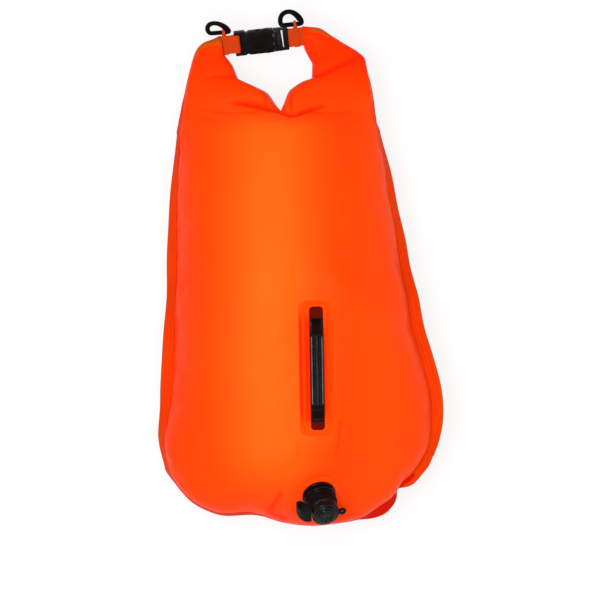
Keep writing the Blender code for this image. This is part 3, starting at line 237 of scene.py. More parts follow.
def grid_faces(rows, cols, start=0, wrap=False, flip=False):
    """Quads of a grid of points; wrap closes each row."""
    faces = []
    for j in range(rows - 1):
        for i in range(cols if wrap else cols - 1):
            a, b = start + j * cols + i, start + j * cols + (i + 1) % cols
            q = (a, b, b + cols, a + cols)
            faces.append(q[::-1] if flip else q)
    return faces


def apply_all(obj):
    """Turns an object's evaluated shape into its mesh."""
    depsgraph = bpy.context.evaluated_depsgraph_get()
    mesh = bpy.data.meshes.new_from_object(obj.evaluated_get(depsgraph))
    obj.modifiers.clear()
    obj.data = mesh


def modify(obj, kind, **settings):
    """Runs one modifier on an object's mesh."""
    modifier = obj.modifiers.new(kind.title(), kind)
    for key, value in settings.items():
        setattr(modifier, key, value)
    apply_all(obj)


def clean_mesh(mesh, merge=0.0, sliver=0.0):
    """Merges points and faces too small to matter and turns every face outward."""
    bm = bmesh.new()
    bm.from_mesh(mesh)
    if merge:
        bmesh.ops.remove_doubles(bm, verts=bm.verts, dist=merge)
    if sliver:
        bmesh.ops.dissolve_degenerate(bm, edges=bm.edges, dist=sliver)
    bmesh.ops.recalc_face_normals(bm, faces=bm.faces)
    bm.to_mesh(mesh)
    bm.free()


def read(items, key, size=3, kind=float):
    values = np.zeros(len(items) * size, kind)
    items.foreach_get(key, values)
    return values.reshape(-1, size)


def positions(mesh):
    return read(mesh.vertices, "co")


def set_positions(mesh, co):
    mesh.vertices.foreach_set("co", np.asarray(co, np.float32).ravel())
    mesh.update()


def set_share(mesh, name, values):
    """A number at each point, which a material reads by its name."""
    mesh.attributes.new(name, "FLOAT", "POINT").data.foreach_set("value", values)


def relax(co, edges, weight, rounds):
    """Evens out a surface where weight is above zero."""
    a, b = edges.T
    count = np.bincount(edges.ravel(), minlength=len(co))
    for _ in range(rounds):
        total = np.zeros_like(co)
        np.add.at(total, a, co[b])
        np.add.at(total, b, co[a])
        co = co + weight[:, None] * 0.6 * (total / count[:, None] - co)
    return co


# materials
def fill(tree, socket, value):
    """Sets a socket, or links it where the value is a node's output."""
    if isinstance(value, bpy.types.NodeSocket):
        tree.links.new(value, socket)
    else:
        socket.default_value = (*value, 1) if socket.type == "RGBA" else value


def add_node(tree, kind, inputs=None, **values):
    """A node with its own settings and its sockets filled; _ stands for a space in a socket's name."""
    node = tree.nodes.new("ShaderNode" + kind)
    inputs = dict(inputs or {})
    for key, value in values.items():
        if key in node.bl_rna.properties:
            setattr(node, key, value)
        else:
            inputs[key.replace("_", " ")] = value
    for key, value in inputs.items():
        fill(tree, node.inputs[key], value)
    return node


def new_material(name, **settings):
    mat = bpy.data.materials.new(name)
    mat.use_nodes = True
    shader = mat.node_tree.nodes["Principled BSDF"]
    for key, value in settings.items():
        fill(mat.node_tree, shader.inputs[key.replace("_", " ")], value)
    return mat, mat.node_tree, shader


def object_space(tree, turn=(0, 0, 0)):
    coord = add_node(tree, "TexCoord").outputs["Object"]
    return add_node(tree, "Mapping", Vector=coord, Rotation=turn).outputs["Vector"]


def noise(tree, space, scale, detail=2.0, rough=0.5):
    node = add_node(tree, "TexNoise", Vector=space, Scale=scale, Detail=detail, Roughness=rough)
    return node.outputs["Fac"]


def waves(tree, space, direction, scale, distortion):
    return add_node(tree, "TexWave", wave_type="BANDS", bands_direction=direction, Vector=space, Scale=scale,
                    Distortion=distortion).outputs["Fac"]


def ramp(tree, value, low, high, start=0.35, end=0.65):
    """A ramp between two colours or two levels."""
    node = add_node(tree, "ValToRGB", Fac=value)
    for element, tone, place in zip(node.color_ramp.elements, (low, high), (start, end)):
        element.position = place
        element.color = (*tone, 1) if np.ndim(tone) else (tone, tone, tone, 1)
    return node.outputs["Color"]


def bumps(tree, shader, *layers):
    """Bump layers, one on another, each with its height, strength and distance."""
    below = {}
    for height, strength, distance in layers:
        node = add_node(tree, "Bump", below, Height=height, Strength=strength, Distance=distance)
        below = {"Normal": node.outputs["Normal"]}
    fill(tree, shader.inputs["Normal"], below["Normal"])


def math_node(tree, operation, a, b):
    return add_node(tree, "Math", {0: a, 1: b}, operation=operation).outputs[0]


def mix_color(tree, share, a, b):
    return add_node(tree, "Mix", {0: share, 6: a, 7: b}, data_type="RGBA").outputs[2]


# colours that the skin's own shares mix in: painted light in its paler middle, painted shade in its folds,
# and the ochre of the rolled ends
PAINT = {"painted_light_share": (1.0, 0.112, 0.006), "painted_shade_share": (0.92, 0.012, 0.0006),
         "ochre_share": (0.56, 0.082, 0.0025)}


def coated_fabric(name, base, dark, rough=0.36, grain=1.0, painted=False):
    """Coated tarpaulin: a fine scrim under a smooth skin, uneven gloss, slight colour drift."""
    mat, tree, shader = new_material(name, Roughness=rough, Specular_IOR_Level=0.03,
                                     Specular_Tint=(1.0, 0.42, 0.2))
    space = object_space(tree)
    color = ramp(tree, noise(tree, space, 9, 3), dark, base, 0.32, 0.62)
    for share, tone in PAINT.items() if painted else ():
        amount = add_node(tree, "Attribute", attribute_name=share).outputs["Fac"]
        color = mix_color(tree, amount, color, tone)
    fill(tree, shader.inputs["Base Color"], color)
    gloss = noise(tree, space, 55, 4, 0.6)
    fill(tree, shader.inputs["Roughness"], ramp(tree, gloss, rough - 0.05, rough + 0.07))
    threads = [waves(tree, object_space(tree, (0, 0, turn)), "X", 320, 0.6) for turn in (0, pi / 2)]
    bumps(tree, shader, (math_node(tree, "MULTIPLY", *threads), 0.1 * grain, 0.0002),
          (noise(tree, space, 700, 3), 0.12 * grain, 0.0002),
          (noise(tree, space, 34, 3, 0.55), 0.16, 0.0022))
    return mat


def webbing_material(name, base, dark, pitch=0.0011, turn=0.0):
    """Woven polyester: ribs across the strap, yarns along it, matte with a little sheen."""
    mat, tree, shader = new_material(name, Roughness=0.82, Specular_IOR_Level=0.1, Sheen_Weight=0.06,
                                     Sheen_Roughness=0.5, Sheen_Tint=(1.0, 0.4, 0.15))
    space = object_space(tree, (0, 0, turn))
    scale = 1 / pitch / 3.1
    yarn = math_node(tree, "MULTIPLY", waves(tree, space, "X", scale, 0.8),
                     waves(tree, space, "Y", scale * 1.4, 0.8))
    fuzz = noise(tree, space, 1500, 3)
    value = math_node(tree, "ADD", math_node(tree, "MULTIPLY", yarn, 0.75),
                      math_node(tree, "MULTIPLY", fuzz, 0.25))
    fill(tree, shader.inputs["Base Color"], ramp(tree, value, dark, base, 0.08, 0.5))
    bumps(tree, shader, (value, 0.75, 0.0006))
    return mat


def plastic_material(name, color, rough, texture=1.0, wear=(0.04, 0.04, 0.041), gloss=0.05):
    """Moulded plastic with a spark-eroded surface, rubbed a little paler along its edges."""
    mat, tree, shader = new_material(name, Roughness=rough, Specular_IOR_Level=gloss)
    space = object_space(tree)
    edge = add_node(tree, "NewGeometry").outputs["Pointiness"]
    patchy = math_node(tree, "MULTIPLY", ramp(tree, edge, 0.0, 1.0, 0.52, 0.66),
                       ramp(tree, noise(tree, space, 160, 3), 0.15, 0.9))
    tone = ramp(tree, noise(tree, space, 60, 2), tuple(c * 0.8 for c in color),
                tuple(min(1, c * 1.25) for c in color))
    fill(tree, shader.inputs["Base Color"], mix_color(tree, patchy, tone, wear))
    grit = noise(tree, space, 220, 4)
    fill(tree, shader.inputs["Roughness"], ramp(tree, grit, rough - 0.07, rough + 0.09))
    bumps(tree, shader, (noise(tree, space, 2600, 2), 0.22 * texture, 0.00025))
    return mat


ORANGE = coated_fabric("orange_coated_fabric", (1.0, 0.032, 0.0008), (1.0, 0.026, 0.0006), painted=True)
# the flange is the skin's own fabric, painted darker and browner as shade on the turned flange
FLANGE_SHADED_ORANGE = coated_fabric("orange_welded_flange_painted_shade", (0.72, 0.038, 0.0008), (0.63, 0.03, 0.0008),
                              0.42, 1.6)
FLANGE_RIM = coated_fabric("cut_edge_of_flange", (0.46, 0.075, 0.004), (0.36, 0.05, 0.003), 0.6, 2.0)
FLANGE_ROOT = coated_fabric("shaded_root_of_flange", (0.66, 0.01, 0.0006), (0.56, 0.008, 0.0005), 0.5, 1.2)
FLAP_SHADE_RED = coated_fabric("turned_flap_painted_shade", (0.6, 0.0062, 0.0008), (0.5, 0.005, 0.0007), 0.5, 1.4)
# the welded patches: the skin's own fabric painted paler, as painted light like the skin around them
PATCH_LIT_ORANGE = coated_fabric("orange_patch_painted_light", (1.0, 0.066, 0.0016), (0.97, 0.055, 0.0012), 0.42, 1.4, True)
# a dark red sheet for the slot's floor: painted shade where the slot lies in shadow
SLOT_SHADE_RED = coated_fabric("slot_painted_shade", (0.12, 0.004, 0.0005), (0.085, 0.0028, 0.0004), 0.6, 1.4)
INNER_ORANGE = coated_fabric("roll_inner_side", (0.62, 0.085, 0.006), (0.42, 0.055, 0.003), 0.6, 2.2)
STRAP_ORANGE = webbing_material("orange_webbing_weave", (0.74, 0.072, 0.003), (0.44, 0.03, 0.002),
                                turn=radians(-6.5))
STITCH = webbing_material("orange_thread", (0.95, 0.14, 0.02), (0.55, 0.05, 0.006), 0.0004)
BLACK = plastic_material("black_moulded_plastic", (0.004, 0.0028, 0.0028), 0.34, gloss=0.04)
BLACK_GRIP = plastic_material("black_grip_plastic", (0.003, 0.003, 0.003), 0.4, 1.8, gloss=0.04)
# pale grey on the grip's middle rib and along its two edges: painted highlights
GRIP_RIDGE_HIGHLIGHT = plastic_material("grip_ridge_painted_highlight", (0.022, 0.024, 0.019), 0.45, 0.8, gloss=0.03)
GRIP_EDGE_HIGHLIGHT = plastic_material("grip_edge_painted_highlight", (0.095, 0.105, 0.115), 0.32, 0.8, gloss=0.12)
BLACK_GLOSS = plastic_material("black_polished_plastic", (0.0036, 0.003, 0.003), 0.2, 0.6, gloss=0.12)
RUBBER = plastic_material("black_soft_rubber", (0.006, 0.006, 0.0062), 0.52, 2.4, (0.03, 0.03, 0.03))


# the inflated bag, as one shell
LEFT_COLUMNS, RIGHT_COLUMNS, BODY_ROWS, ARM_ROWS = 36, 34, 88, 46


def bag_columns(one, two):
    a = SPLIT * (0.5 - 0.5 * np.cos(np.pi * np.arange(one + 1) / one))
    b = SPLIT + (1 - SPLIT) * (0.5 - 0.5 * np.cos(np.pi * np.arange(1, two + 1) / two))
    return np.concatenate([a, b])


def bag_rows(count):
    low = np.linspace(0, 1, count - count // 5 + 1)
    low = 0.94 * (0.62 * low + 0.38 * low ** 1.7)
    return np.concatenate([low, np.linspace(0.94, 1, count // 5 + 1)[1:]])


def seam_lines(us, vs):
    """Flange edge and seam line from the left neck, round the bottom, to the right neck."""
    left_edge, right_edge, bottom_edge = plan(LEFT_EDGE), plan(RIGHT_EDGE), plan(BOTTOM_EDGE)
    left = curve(left_edge, vs, before=bottom_edge[1])
    right = curve(right_edge, vs, before=bottom_edge[-2])
    bottom = curve(bottom_edge, us, before=left_edge[1], after=right_edge[1])
    edge = np.vstack([left[::-1], bottom[1:-1], right])
    travel = share_of_length(edge)
    tangent = unit(np.gradient(edge, axis=0))
    inward = np.stack([-tangent[:, 1], tangent[:, 0]], axis=1)
    inward[0], inward[-1] = (1, 0), (-1, 0)
    show = pchip(FLANGE_SHOW, travel)
    seam = edge + inward * (FLANGE * show)[:, None]
    drop = FLANGE * np.sqrt(np.clip(1 - show ** 2, 0, 1))
    edge3 = np.column_stack([edge, SEAM_Z - drop])
    seam3 = np.column_stack([seam, np.full(len(seam), SEAM_Z)])
    return edge3, seam3


def coons(seam, us, vs):
    nl, na = len(vs) - 1, len(us) - 1
    left, bottom, right = seam[:nl + 1][::-1], seam[nl:nl + na + 1], seam[nl + na:]
    u, v = us[None, :, None], vs[:, None, None]
    top = left[-1] * (1 - u) + right[-1] * u
    corner = (bottom[0] * (1 - u) + bottom[-1] * u) * (1 - v) + top * v
    return bottom[None] * (1 - v) + top * v + left[:, None] * (1 - u) + right[:, None] * u - corner


def off_grip(points):
    """How far points lie outside the grip's patch, seen along its own upright."""
    local = placed(points, GRIP.inverted())
    return np.maximum(np.abs(local[..., 0]) - 0.019, np.abs(local[..., 1]) - 0.0715)


def off_valve(points):
    return np.linalg.norm(placed(points, VALVE.inverted())[..., :2], axis=-1) - 0.0215


def settle(points, place, distance, fade, flat=0.003):
    """Draws points of the front onto the flat under a stiff piece."""
    local = placed(points, place.inverted())
    local[..., 2] *= step((distance(points) - flat) / fade)
    return placed(local, place)


def soft_floor(z, low, blur):
    return low + blur * np.log1p(np.exp(np.clip((z - low) / blur, -40, 40)))


def arm_flange(places, side):
    """Width of the flange along an arm's outer edge, and the share of it that shows."""
    width = FLANGE * (1 - 0.72 * step(places / 0.55))
    first = FLANGE_SHOW[0][1] if side < 0 else FLANGE_SHOW[-1][1]
    return width, first * (1 - 0.3 * step(places / 0.6)) * step((0.97 - places) / 0.2)


def arm_rows(stations, end_x):
    """Outer and inner points of an arm, from the neck to the roll's end at the strap."""
    rows = [(ox * W, NECK_Y + oy * RISE, SEAM_Z, ix * W, NECK_Y + iy * RISE, SEAM_Z)
            for ox, oy, ix, iy in stations]
    across = STRAP.to_3x3() @ Vector((0, 1, 0))
    across.z = 0
    across.normalize()
    end = STRAP @ Vector((end_x, 0, 0))
    return rows + [(*(end + across * ROLL_HALF), *(end - across * ROLL_HALF))]


def arm_grid(stations, end_x, us, side):
    """Front and back points of one half of the roll-top, above the neck row."""
    rows = arm_rows(stations, end_x)
    last = len(rows) - 1
    places = np.linspace(0, 1, ARM_ROWS + 1)[1:] ** 1.25
    lines = curve(rows, places, ease=ARM_EASE)
    width, shown = arm_flange(places, side)
    lines[:, 0] -= side * width * shown
    w = us / SPLIT if side < 0 else (1 - us) / (1 - SPLIT)
    s = places[:, None]
    rolled = step(s * last / (last - 2))
    flat = NECK_DEPTH * lens(us)[None]
    round_end = 0.0115 * np.clip(4 * w * (1 - w), 0, None)[None] ** 0.4
    depth = flat * (1 - rolled) + round_end * rolled
    inner = np.clip((w[None] - 0.9) / 0.1, 0, 1)
    depth = depth * (1 - step(s / 0.1) * (1 - np.sqrt(1 - inner ** 2)))
    bulge = 0.009 * lens(w)[None] * np.sin(np.pi * s) ** 2
    point = lines[:, None, :3] * (1 - w)[None, :, None] + lines[:, None, 3:] * w[None, :, None]
    front, back = point.copy(), point.copy()
    front[..., 2] += depth
    back[..., 2] -= depth + bulge
    return front, back


def make_shell():
    us, vs = bag_columns(LEFT_COLUMNS, RIGHT_COLUMNS), bag_rows(BODY_ROWS)
    _, seam = seam_lines(us, vs)
    base = coons(seam, us, vs)
    depth = pchip(DEPTHS, vs)[:, None] * lens(us)[None]
    front, back = base.copy(), base.copy()
    front[..., 2] += FRONT * depth
    back[..., 2] -= BACK * depth
    eased = settle(settle(front, GRIP, off_grip, 0.03), VALVE, off_valve, 0.024)
    front[1:, 1:-1] = eased[1:, 1:-1]
    back[-1, :, 2] = SEAM_Z - NECK_DEPTH * lens(us)
    back[1:, 1:-1, 2] = soft_floor(back[1:, 1:-1, 2], OUT + 0.0002, 0.0022)
    sheets = [(front, False, -1), (back, True, -1)]
    for stations, end_x, columns, side, inner in (
            (LEFT_ARM, LEFT_END, slice(0, LEFT_COLUMNS + 1), -1, -1),
            (RIGHT_ARM, RIGHT_END, slice(LEFT_COLUMNS, None), 1, 0)):
        top, bottom = arm_grid(stations, end_x, us[columns], side)
        top = np.concatenate([front[-1:, columns], top])
        bottom = np.concatenate([back[-1:, columns], bottom])
        sheets += [(top, False, side), (bottom, True, side), (np.stack([top[-1], bottom[-1]]), False, side),
                   (np.stack([top[:, inner], bottom[:, inner]]), False, side)]
    verts, faces, first_right = [], [], 0
    for sheet, flip, side in sheets:
        faces += grid_faces(*sheet.shape[:2], len(verts), flip=flip)
        verts += list(sheet.reshape(-1, 3))
        if side < 0:
            first_right = len(faces)
    obj = mesh_object("bag_shell", verts, faces, ORANGE)
    obj.data.materials.append(ORANGE)
    tags = np.zeros(len(obj.data.polygons), np.int32)
    tags[first_right:] = 1
    obj.data.polygons.foreach_set("material_index", tags)
    clean_mesh(obj.data, 0.00004, 0.00002)
    return obj, seam


shell, seam_coarse = make_shell()
co = positions(shell.data)
# even out the neck, but hardly where the middle of it stays sharply folded
FOLD_X, FOLD_HALF, NECK_REACH = -0.02, 0.03, 0.014
near_neck = np.exp(-((co[:, 1] - NECK_Y) / NECK_REACH) ** 2)
beside_fold = 0.12 + 0.88 * step((np.abs(co[:, 0] - FOLD_X) - FOLD_HALF) / 0.035)
co = relax(co, read(shell.data.edges, "vertices", 2, np.int32), near_neck * beside_fold, 24)
set_positions(shell.data, co)


def inflate(obj, pin, cap, frames=20):
    """Blows the skin up in a short cloth run; no point moves by more than its cap."""
    group = obj.vertex_groups.new(name="pin")
    pin = np.round(pin, 2)
    for value in np.unique(pin):
        group.add(np.nonzero(pin == value)[0].tolist(), float(value), "REPLACE")
    before = positions(obj.data)
    cloth = obj.modifiers.new("Cloth", "CLOTH")
    settings = {"quality": 6, "mass": 0.15, "tension_stiffness": 22, "compression_stiffness": 22,
                "shear_stiffness": 8, "bending_stiffness": 0.35, "use_pressure": True,
                "uniform_pressure_force": 4.0, "vertex_group_mass": "pin", "shrink_min": -0.01}
    for key, value in settings.items():
        setattr(cloth.settings, key, value)
    cloth.settings.effector_weights.gravity = 0
    cloth.point_cache.frame_start, cloth.point_cache.frame_end = 1, frames
    for number in range(1, frames + 1):
        bpy.context.scene.frame_set(number)
    apply_all(obj)
    move = positions(obj.data) - before
    length = np.linalg.norm(move, axis=1)
    move *= np.minimum(1, cap / np.maximum(length, 1e-9))[:, None]
    set_positions(obj.data, before + move)
    bpy.context.scene.frame_set(1)


def hold_still(co):
    """How firmly each point of the skin is held while it is blown up, from 0 to 1."""
    distance, _ = polyline_distance(co[:, :2], seam_coarse[:, :2])
    on_seam = (np.abs(distance) < 0.0008) & (np.abs(co[:, 2] - SEAM_Z) < 0.001)
    stiff = ((off_grip(co) < 0.004) | (off_valve(co) < 0.004)) & (co[:, 2] > SEAM_Z)
    on_floor = co[:, 2] < OUT + 0.004
    arms = step((co[:, 1] - NECK_Y - 0.002) / 0.01)
    return np.maximum(arms, (on_seam | stiff | on_floor).astype(float))


inflate(shell, hold_still(co), cap=0.0045)


# folds and creases
def groove(co, points, depth, wide, tight, lip=0.3, ends=0.25):
    """A fold along a line of the photograph, gentle on its left and steep on its right, seen along it:
    how far it lifts the skin, and how much painted shade reddens it there."""
    distance, share = polyline_distance(co[:, :2], on_plan(points))
    fade = step(share / ends) * step((1 - share) / ends)
    d = np.abs(distance)
    width = np.where(distance > 0, wide, tight)
    shape = -np.exp(-(d / width)) + lip * np.exp(-((d - 1.6 * wide) / wide) ** 2)
    crease_shade = fade * np.exp(-(d / (0.42 * width + 0.0004)) ** 2) * min(1.0, depth / 0.0042)
    return depth * fade * shape, crease_shade


def ripple(co, seam, reach, count, size):
    """Small puckers that run in from the welded seam."""
    distance, share = polyline_distance(co[:, :2], seam[:, :2])
    turn = 2 * np.pi * share
    wave = (np.sin(count * turn + 1.3 * np.sin(5 * turn)) + 0.6 * np.sin(1.7 * count * turn + 2.0))
    strength = 0.55 + 0.45 * np.sin(7 * turn + 0.8)
    near = np.exp(-(distance / reach) ** 2) * step(np.abs(distance) / 0.006)
    return size * near * wave * strength


modify(shell, "SUBSURF", levels=1, render_levels=1)
co, normal = positions(shell.data), read(shell.data.vertices, "normal")
front_side = step((normal[:, 2] - 0.05) / 0.25) * (co[:, 2] > SEAM_Z - 0.002)
CREASES = [
    ([(226, 102), (231, 104.3), (262, 110), (281, 115.2), (291, 119), (296, 118.3), (325, 107.5),
      (331, 105)], 0.007, 0.0062, 0.0009, 0.28, 0.2),
    ([(293, 119), (291.5, 108), (293.5, 92)], 0.0026, 0.0034, 0.0012, 0.2, 0.3),
    ([(284.5, 97), (283.5, 106), (286, 116)], 0.002, 0.0016, 0.003, 0.2, 0.3),
    ([(264, 94), (266.5, 103), (268, 111)], 0.0018, 0.0012, 0.004, 0.2, 0.3),
    ([(203, 81), (216, 78.5), (229, 78.5), (240, 80.5)], 0.0018, 0.006, 0.0012, 0.3, 0.35),
    ([(310, 80.5), (320, 77.5), (343, 67), (366, 55.5)], 0.004, 0.0075, 0.0011, 0.3, 0.12),
    ([(284, 485), (277, 498), (269, 510)], 0.0036, 0.003, 0.0052, 0.3, 0.25),
    ([(268, 508), (277, 513), (289, 517)], 0.0028, 0.005, 0.003, 0.3, 0.25),
    ([(341, 408), (339, 425), (337, 442), (334, 462)], 0.0018, 0.0034, 0.0018, 0.3, 0.3),
    ([(339, 433), (345, 441), (352, 447)], 0.0014, 0.0018, 0.0034, 0.3, 0.3),
    ([(300, 432), (297, 446), (300, 462)], 0.0008, 0.004, 0.0025, 0.3, 0.3),
]
folds = [groove(co, *crease) for crease in CREASES]
moved = np.outer(front_side * sum(lift for lift, _ in folds), (0, 0, 1))
# painted shade: the skin turns deep red along each crease, where shade falls in the fold
painted_shade_share = 0.95 * front_side * np.clip(sum(crease_shade for _, crease_shade in folds), 0, 1)
away = 1 - np.maximum(step(1 - off_grip(co) / 0.01), step(1 - off_valve(co) / 0.008))
away = np.where(co[:, 2] > SEAM_Z, away, 1.0)
off_floor = step((co[:, 2] - OUT) / 0.012)
swell = ripple(co, seam_coarse, 0.022, 19, 0.00045) * away
swell += 0.0003 * away * (np.sin(co[:, 0] * 61 + 3 * np.sin(co[:, 1] * 23))
                           * np.sin(co[:, 1] * 47 + 2 * np.sin(co[:, 0] * 31) + 1.0))
co = co + moved + normal * ((swell * off_floor) + OUT)[:, None]
co[:, 2] = np.maximum(co[:, 2], 0.0003)
set_positions(shell.data, co)


def along_line(xy, points, half_start, half_end, soft=0.0011):
    """1 near a line of the photograph, within a width that goes from half_start to half_end."""
    distance, share = polyline_distance(xy, on_plan(points))
    half = half_start + (half_end - half_start) * share
    return 1 - step((np.abs(distance) - half) / soft)


def painted_light_middle(xy):
    """How far the skin goes from its red arms and sides to its paler middle: painted light, brightest in the
    middle.
    """
    x, y = ORIGIN_X + xy[:, 0] / PIXEL, ORIGIN_Y - xy[:, 1] / PIXEL
    middle = np.exp(-((x - 272) / 44) ** 2) * step((y - 104) / 36) * step((522 - y) / 90)
    return step((y - 58) / 55) * (0.2 + 0.15 * step((x - 340) / 40) + 0.76 * middle)


rolled_left = along_line(co[:, :2], [(195.5, 57), (197, 50), (203, 45), (211, 42), (220, 41)],
                         0.0014, 0.0048)
rolled_right = along_line(co[:, :2], [(312, 31), (321, 30.5), (328.5, 34)], 0.002, 0.0034)
# painted light: the middle of the skin is paler than its arms and sides
set_share(shell.data, "painted_light_share", painted_light_middle(co[:, :2]))
# painted shade along the creases
set_share(shell.data, "painted_shade_share", painted_shade_share)
set_share(shell.data, "ochre_share", 0.9 * np.maximum(rolled_left, rolled_right))


def cut_out(name, tag):
    """The faces of the shell with one tag, as a piece of its own, shaded as a part of the whole."""
    mesh = shell.data.copy()
    mesh.name = name
    bm = bmesh.new()
    bm.from_mesh(mesh)
    mark = bm.verts.layers.int.new("source")
    for k, vert in enumerate(bm.verts):
        vert[mark] = k
    bmesh.ops.delete(bm, geom=[f for f in bm.faces if f.material_index != tag], context="FACES")
    source = [vert[mark] for vert in bm.verts]
    for face in bm.faces:
        face.material_index = 0
    bm.verts.layers.int.remove(mark)
    bm.to_mesh(mesh)
    bm.free()
    mesh.materials.clear()
    mesh.materials.append(ORANGE)
    shade = read(shell.data.vertices, "normal")[source]
    mesh.normals_split_custom_set_from_vertices([tuple(n) for n in shade])
    return link_object(name, mesh)


bag_skin = cut_out("bag_skin", 0)
right_arm = cut_out("bag_right_arm", 1)
bpy.data.objects.remove(shell)
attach(bag_skin, "bag")
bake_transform(right_arm)


# the welded flange
FLANGE_PROFILE = [
    (-0.14, 0.00055), (0.0, 0.00095), (0.05, 0.00085), (0.1, 0.00105), (0.28, 0.00112), (0.33, 0.00108),
    (0.36, 0.0008), (0.42, 0.0008), (0.45, 0.00108), (0.58, 0.00112), (0.63, 0.00108), (0.66, 0.0008),
    (0.72, 0.0008), (0.75, 0.00108), (0.9, 0.0011), (0.955, 0.00102), (0.985, 0.00078), (1.0, 0.0004),
]

POINTS_ROUND = 2 * len(FLANGE_PROFILE)
# the flange's materials 1, 2 and 3 are its cut rim, its root in painted shade, and the red painted shade of
# its flap and lobe
RIM, ROOT, RED = 1, 2, 3
STRIPS = ((RIM, slice(14, 21)), (ROOT, slice(0, 2)), (ROOT, slice(POINTS_ROUND - 3, POINTS_ROUND - 1)))


def flange_rings(edge, seam, wave):
    """Sections of the flange: over the top from its root to its edge, and back underneath."""
    width = np.linalg.norm(edge - seam, axis=1)
    across = unit(edge - seam)
    up = unit(np.cross(across, unit(np.gradient(edge + seam, axis=0))))
    if up[len(up) // 2, 2] < 0:
        up = -up
    rings = []
    for sign, profile in ((1, FLANGE_PROFILE), (-1, FLANGE_PROFILE[::-1])):
        for share, half in profile:
            lift = sign * half + wave * max(share, 0) ** 2
            rings.append(seam + across * (width * share)[:, None] + up * lift[:, None])
    return np.stack(rings, axis=1)


def ring_loft(name, rings, mat, closed=False, caps=True, sharp=40):
    """A skin through rings of points (count, points, 3)."""
    count, size = rings.shape[:2]
    faces = grid_faces(count, size, wrap=True)
    last = (count - 1) * size
    if closed:
        faces += [(last + i, last + (i + 1) % size, (i + 1) % size, i) for i in range(size)]
    elif caps:
        faces += [tuple(range(size))[::-1], tuple(range(last, last + size))]
    obj = mesh_object(name, rings.reshape(-1, 3), faces, mat, sharp)
    clean_mesh(obj.data)
    return obj


def flange_piece(name, edge, seam, wave, travel):
    """Part of the flange, with its cut rim, its shaded root, and the turned flap and lobe in red painted
    shade.
    """
    obj = ring_loft(name, flange_rings(edge, seam, wave), FLANGE_SHADED_ORANGE)
    for mat in (FLANGE_RIM, FLANGE_ROOT, FLAP_SHADE_RED):
        obj.data.materials.append(mat)
    rows = len(edge) - 1
    tags = np.zeros(len(obj.data.polygons), np.int32)
    grid = tags[:rows * POINTS_ROUND].reshape(rows, POINTS_ROUND)
    middle = (travel[1:] + travel[:-1]) / 2
    for tag, strip in STRIPS:
        grid[middle < PLAIN_RIM, strip] = tag
    # painted shade: the turned flap and the inner half of the lobe in deep red
    grid[(middle > FLAP[0]) & (middle < FLAP[1])] = RED
    grid[(middle > LOBE[0]) & (middle < LOBE[1]), :8] = RED
    obj.data.polygons.foreach_set("material_index", tags)
    return obj


def flange_on_arm(stations, end_x, side):
    """Edge and seam of the flange along the outer side of an arm."""
    places = np.linspace(0, 0.93, 110)
    edge = curve([row[:3] for row in arm_rows(stations, end_x)], places, ease=ARM_EASE)
    width, level = arm_flange(places, side)
    root = edge.copy()
    root[:, 0] -= side * width * level
    edge[:, 2] -= width * np.sqrt(1 - level ** 2)
    return edge, root


def make_flange():
    edge, seam = seam_lines(bag_columns(110, 160), bag_rows(190))
    travel = share_of_length(edge[:, :2])
    edge = seam + (edge - seam) * pchip(FLANGE_LEFT, travel)[:, None]
    share = np.linspace(0, 1, len(seam))
    wave = 0.0007 * (np.sin(share * 2 * pi * 11) + 0.7 * np.sin(share * 2 * pi * 23 + 1))
    wave *= step(share / 0.03) * step((1 - share) / 0.03)
    left_edge, left_seam = flange_on_arm(LEFT_ARM, LEFT_END, -1)
    still = np.zeros(len(left_edge) - 1)
    main = flange_piece("seam_flange", np.vstack([left_edge[:0:-1], edge]),
                        np.vstack([left_seam[:0:-1], seam]), np.concatenate([still, wave]),
                        np.concatenate([still, travel]))
    edge, seam = flange_on_arm(RIGHT_ARM, RIGHT_END, 1)
    return main, flange_piece("seam_flange_right_arm", edge, seam, np.zeros(len(edge)), np.ones(len(edge)))


flange, flange_arm = make_flange()
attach(flange, "bag")
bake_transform(flange_arm)
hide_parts("front_panel", "back_panel", "inner_bag", "roll_left")
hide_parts("roll_right")


# rigid pieces: helpers
def soften(points, radius, steps=4, closed=True):
    """Rounds the corners of an outline."""
    pts = [np.array(q, float) for q in points]
    out = []
    for k, here in enumerate(pts):
        if not closed and k in (0, len(pts) - 1):
            out.append(tuple(here))
            continue
        a, c = pts[k - 1] - here, pts[(k + 1) % len(pts)] - here
        la, lc = np.linalg.norm(a), np.linalg.norm(c)
        r = min(radius, 0.45 * la, 0.45 * lc)
        start, end = here + a / la * r, here + c / lc * r
        for i in range(steps + 1):
            t = i / steps
            out.append(tuple((1 - t) ** 2 * start + 2 * t * (1 - t) * here + t * t * end))
    return out


def slab(name, outline, low, high, edge=0.0, mat=BLACK, segments=3):
    """A plate with bevelled edges from a closed outline."""
    n = len(outline)
    verts = [(x, y, z) for z in (low, high) for x, y in outline]
    faces = [tuple(range(n))[::-1], tuple(range(n, 2 * n))]
    faces += [(k, (k + 1) % n, n + (k + 1) % n, n + k) for k in range(n)]
    obj = mesh_object(name, verts, faces, mat)
    clean_mesh(obj.data)
    if edge:
        modify(obj, "BEVEL", width=edge, segments=segments, limit_method="ANGLE", angle_limit=radians(40))
    return obj


def carve(obj, tool, operation="DIFFERENCE"):
    modify(obj, "BOOLEAN", operation=operation, object=tool, solver="EXACT")
    bpy.data.objects.remove(tool)


def place_piece(obj, place, body, slot, *nodes, angle=35):
    """Puts a piece in its place and on its body, where one is given, over the nodes it replaces."""
    obj.data.transform(place)
    obj.data.shade_smooth()
    obj.data.set_sharp_from_angle(angle=radians(angle))
    if body:
        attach(obj, body)
    if nodes:
        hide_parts(*nodes)


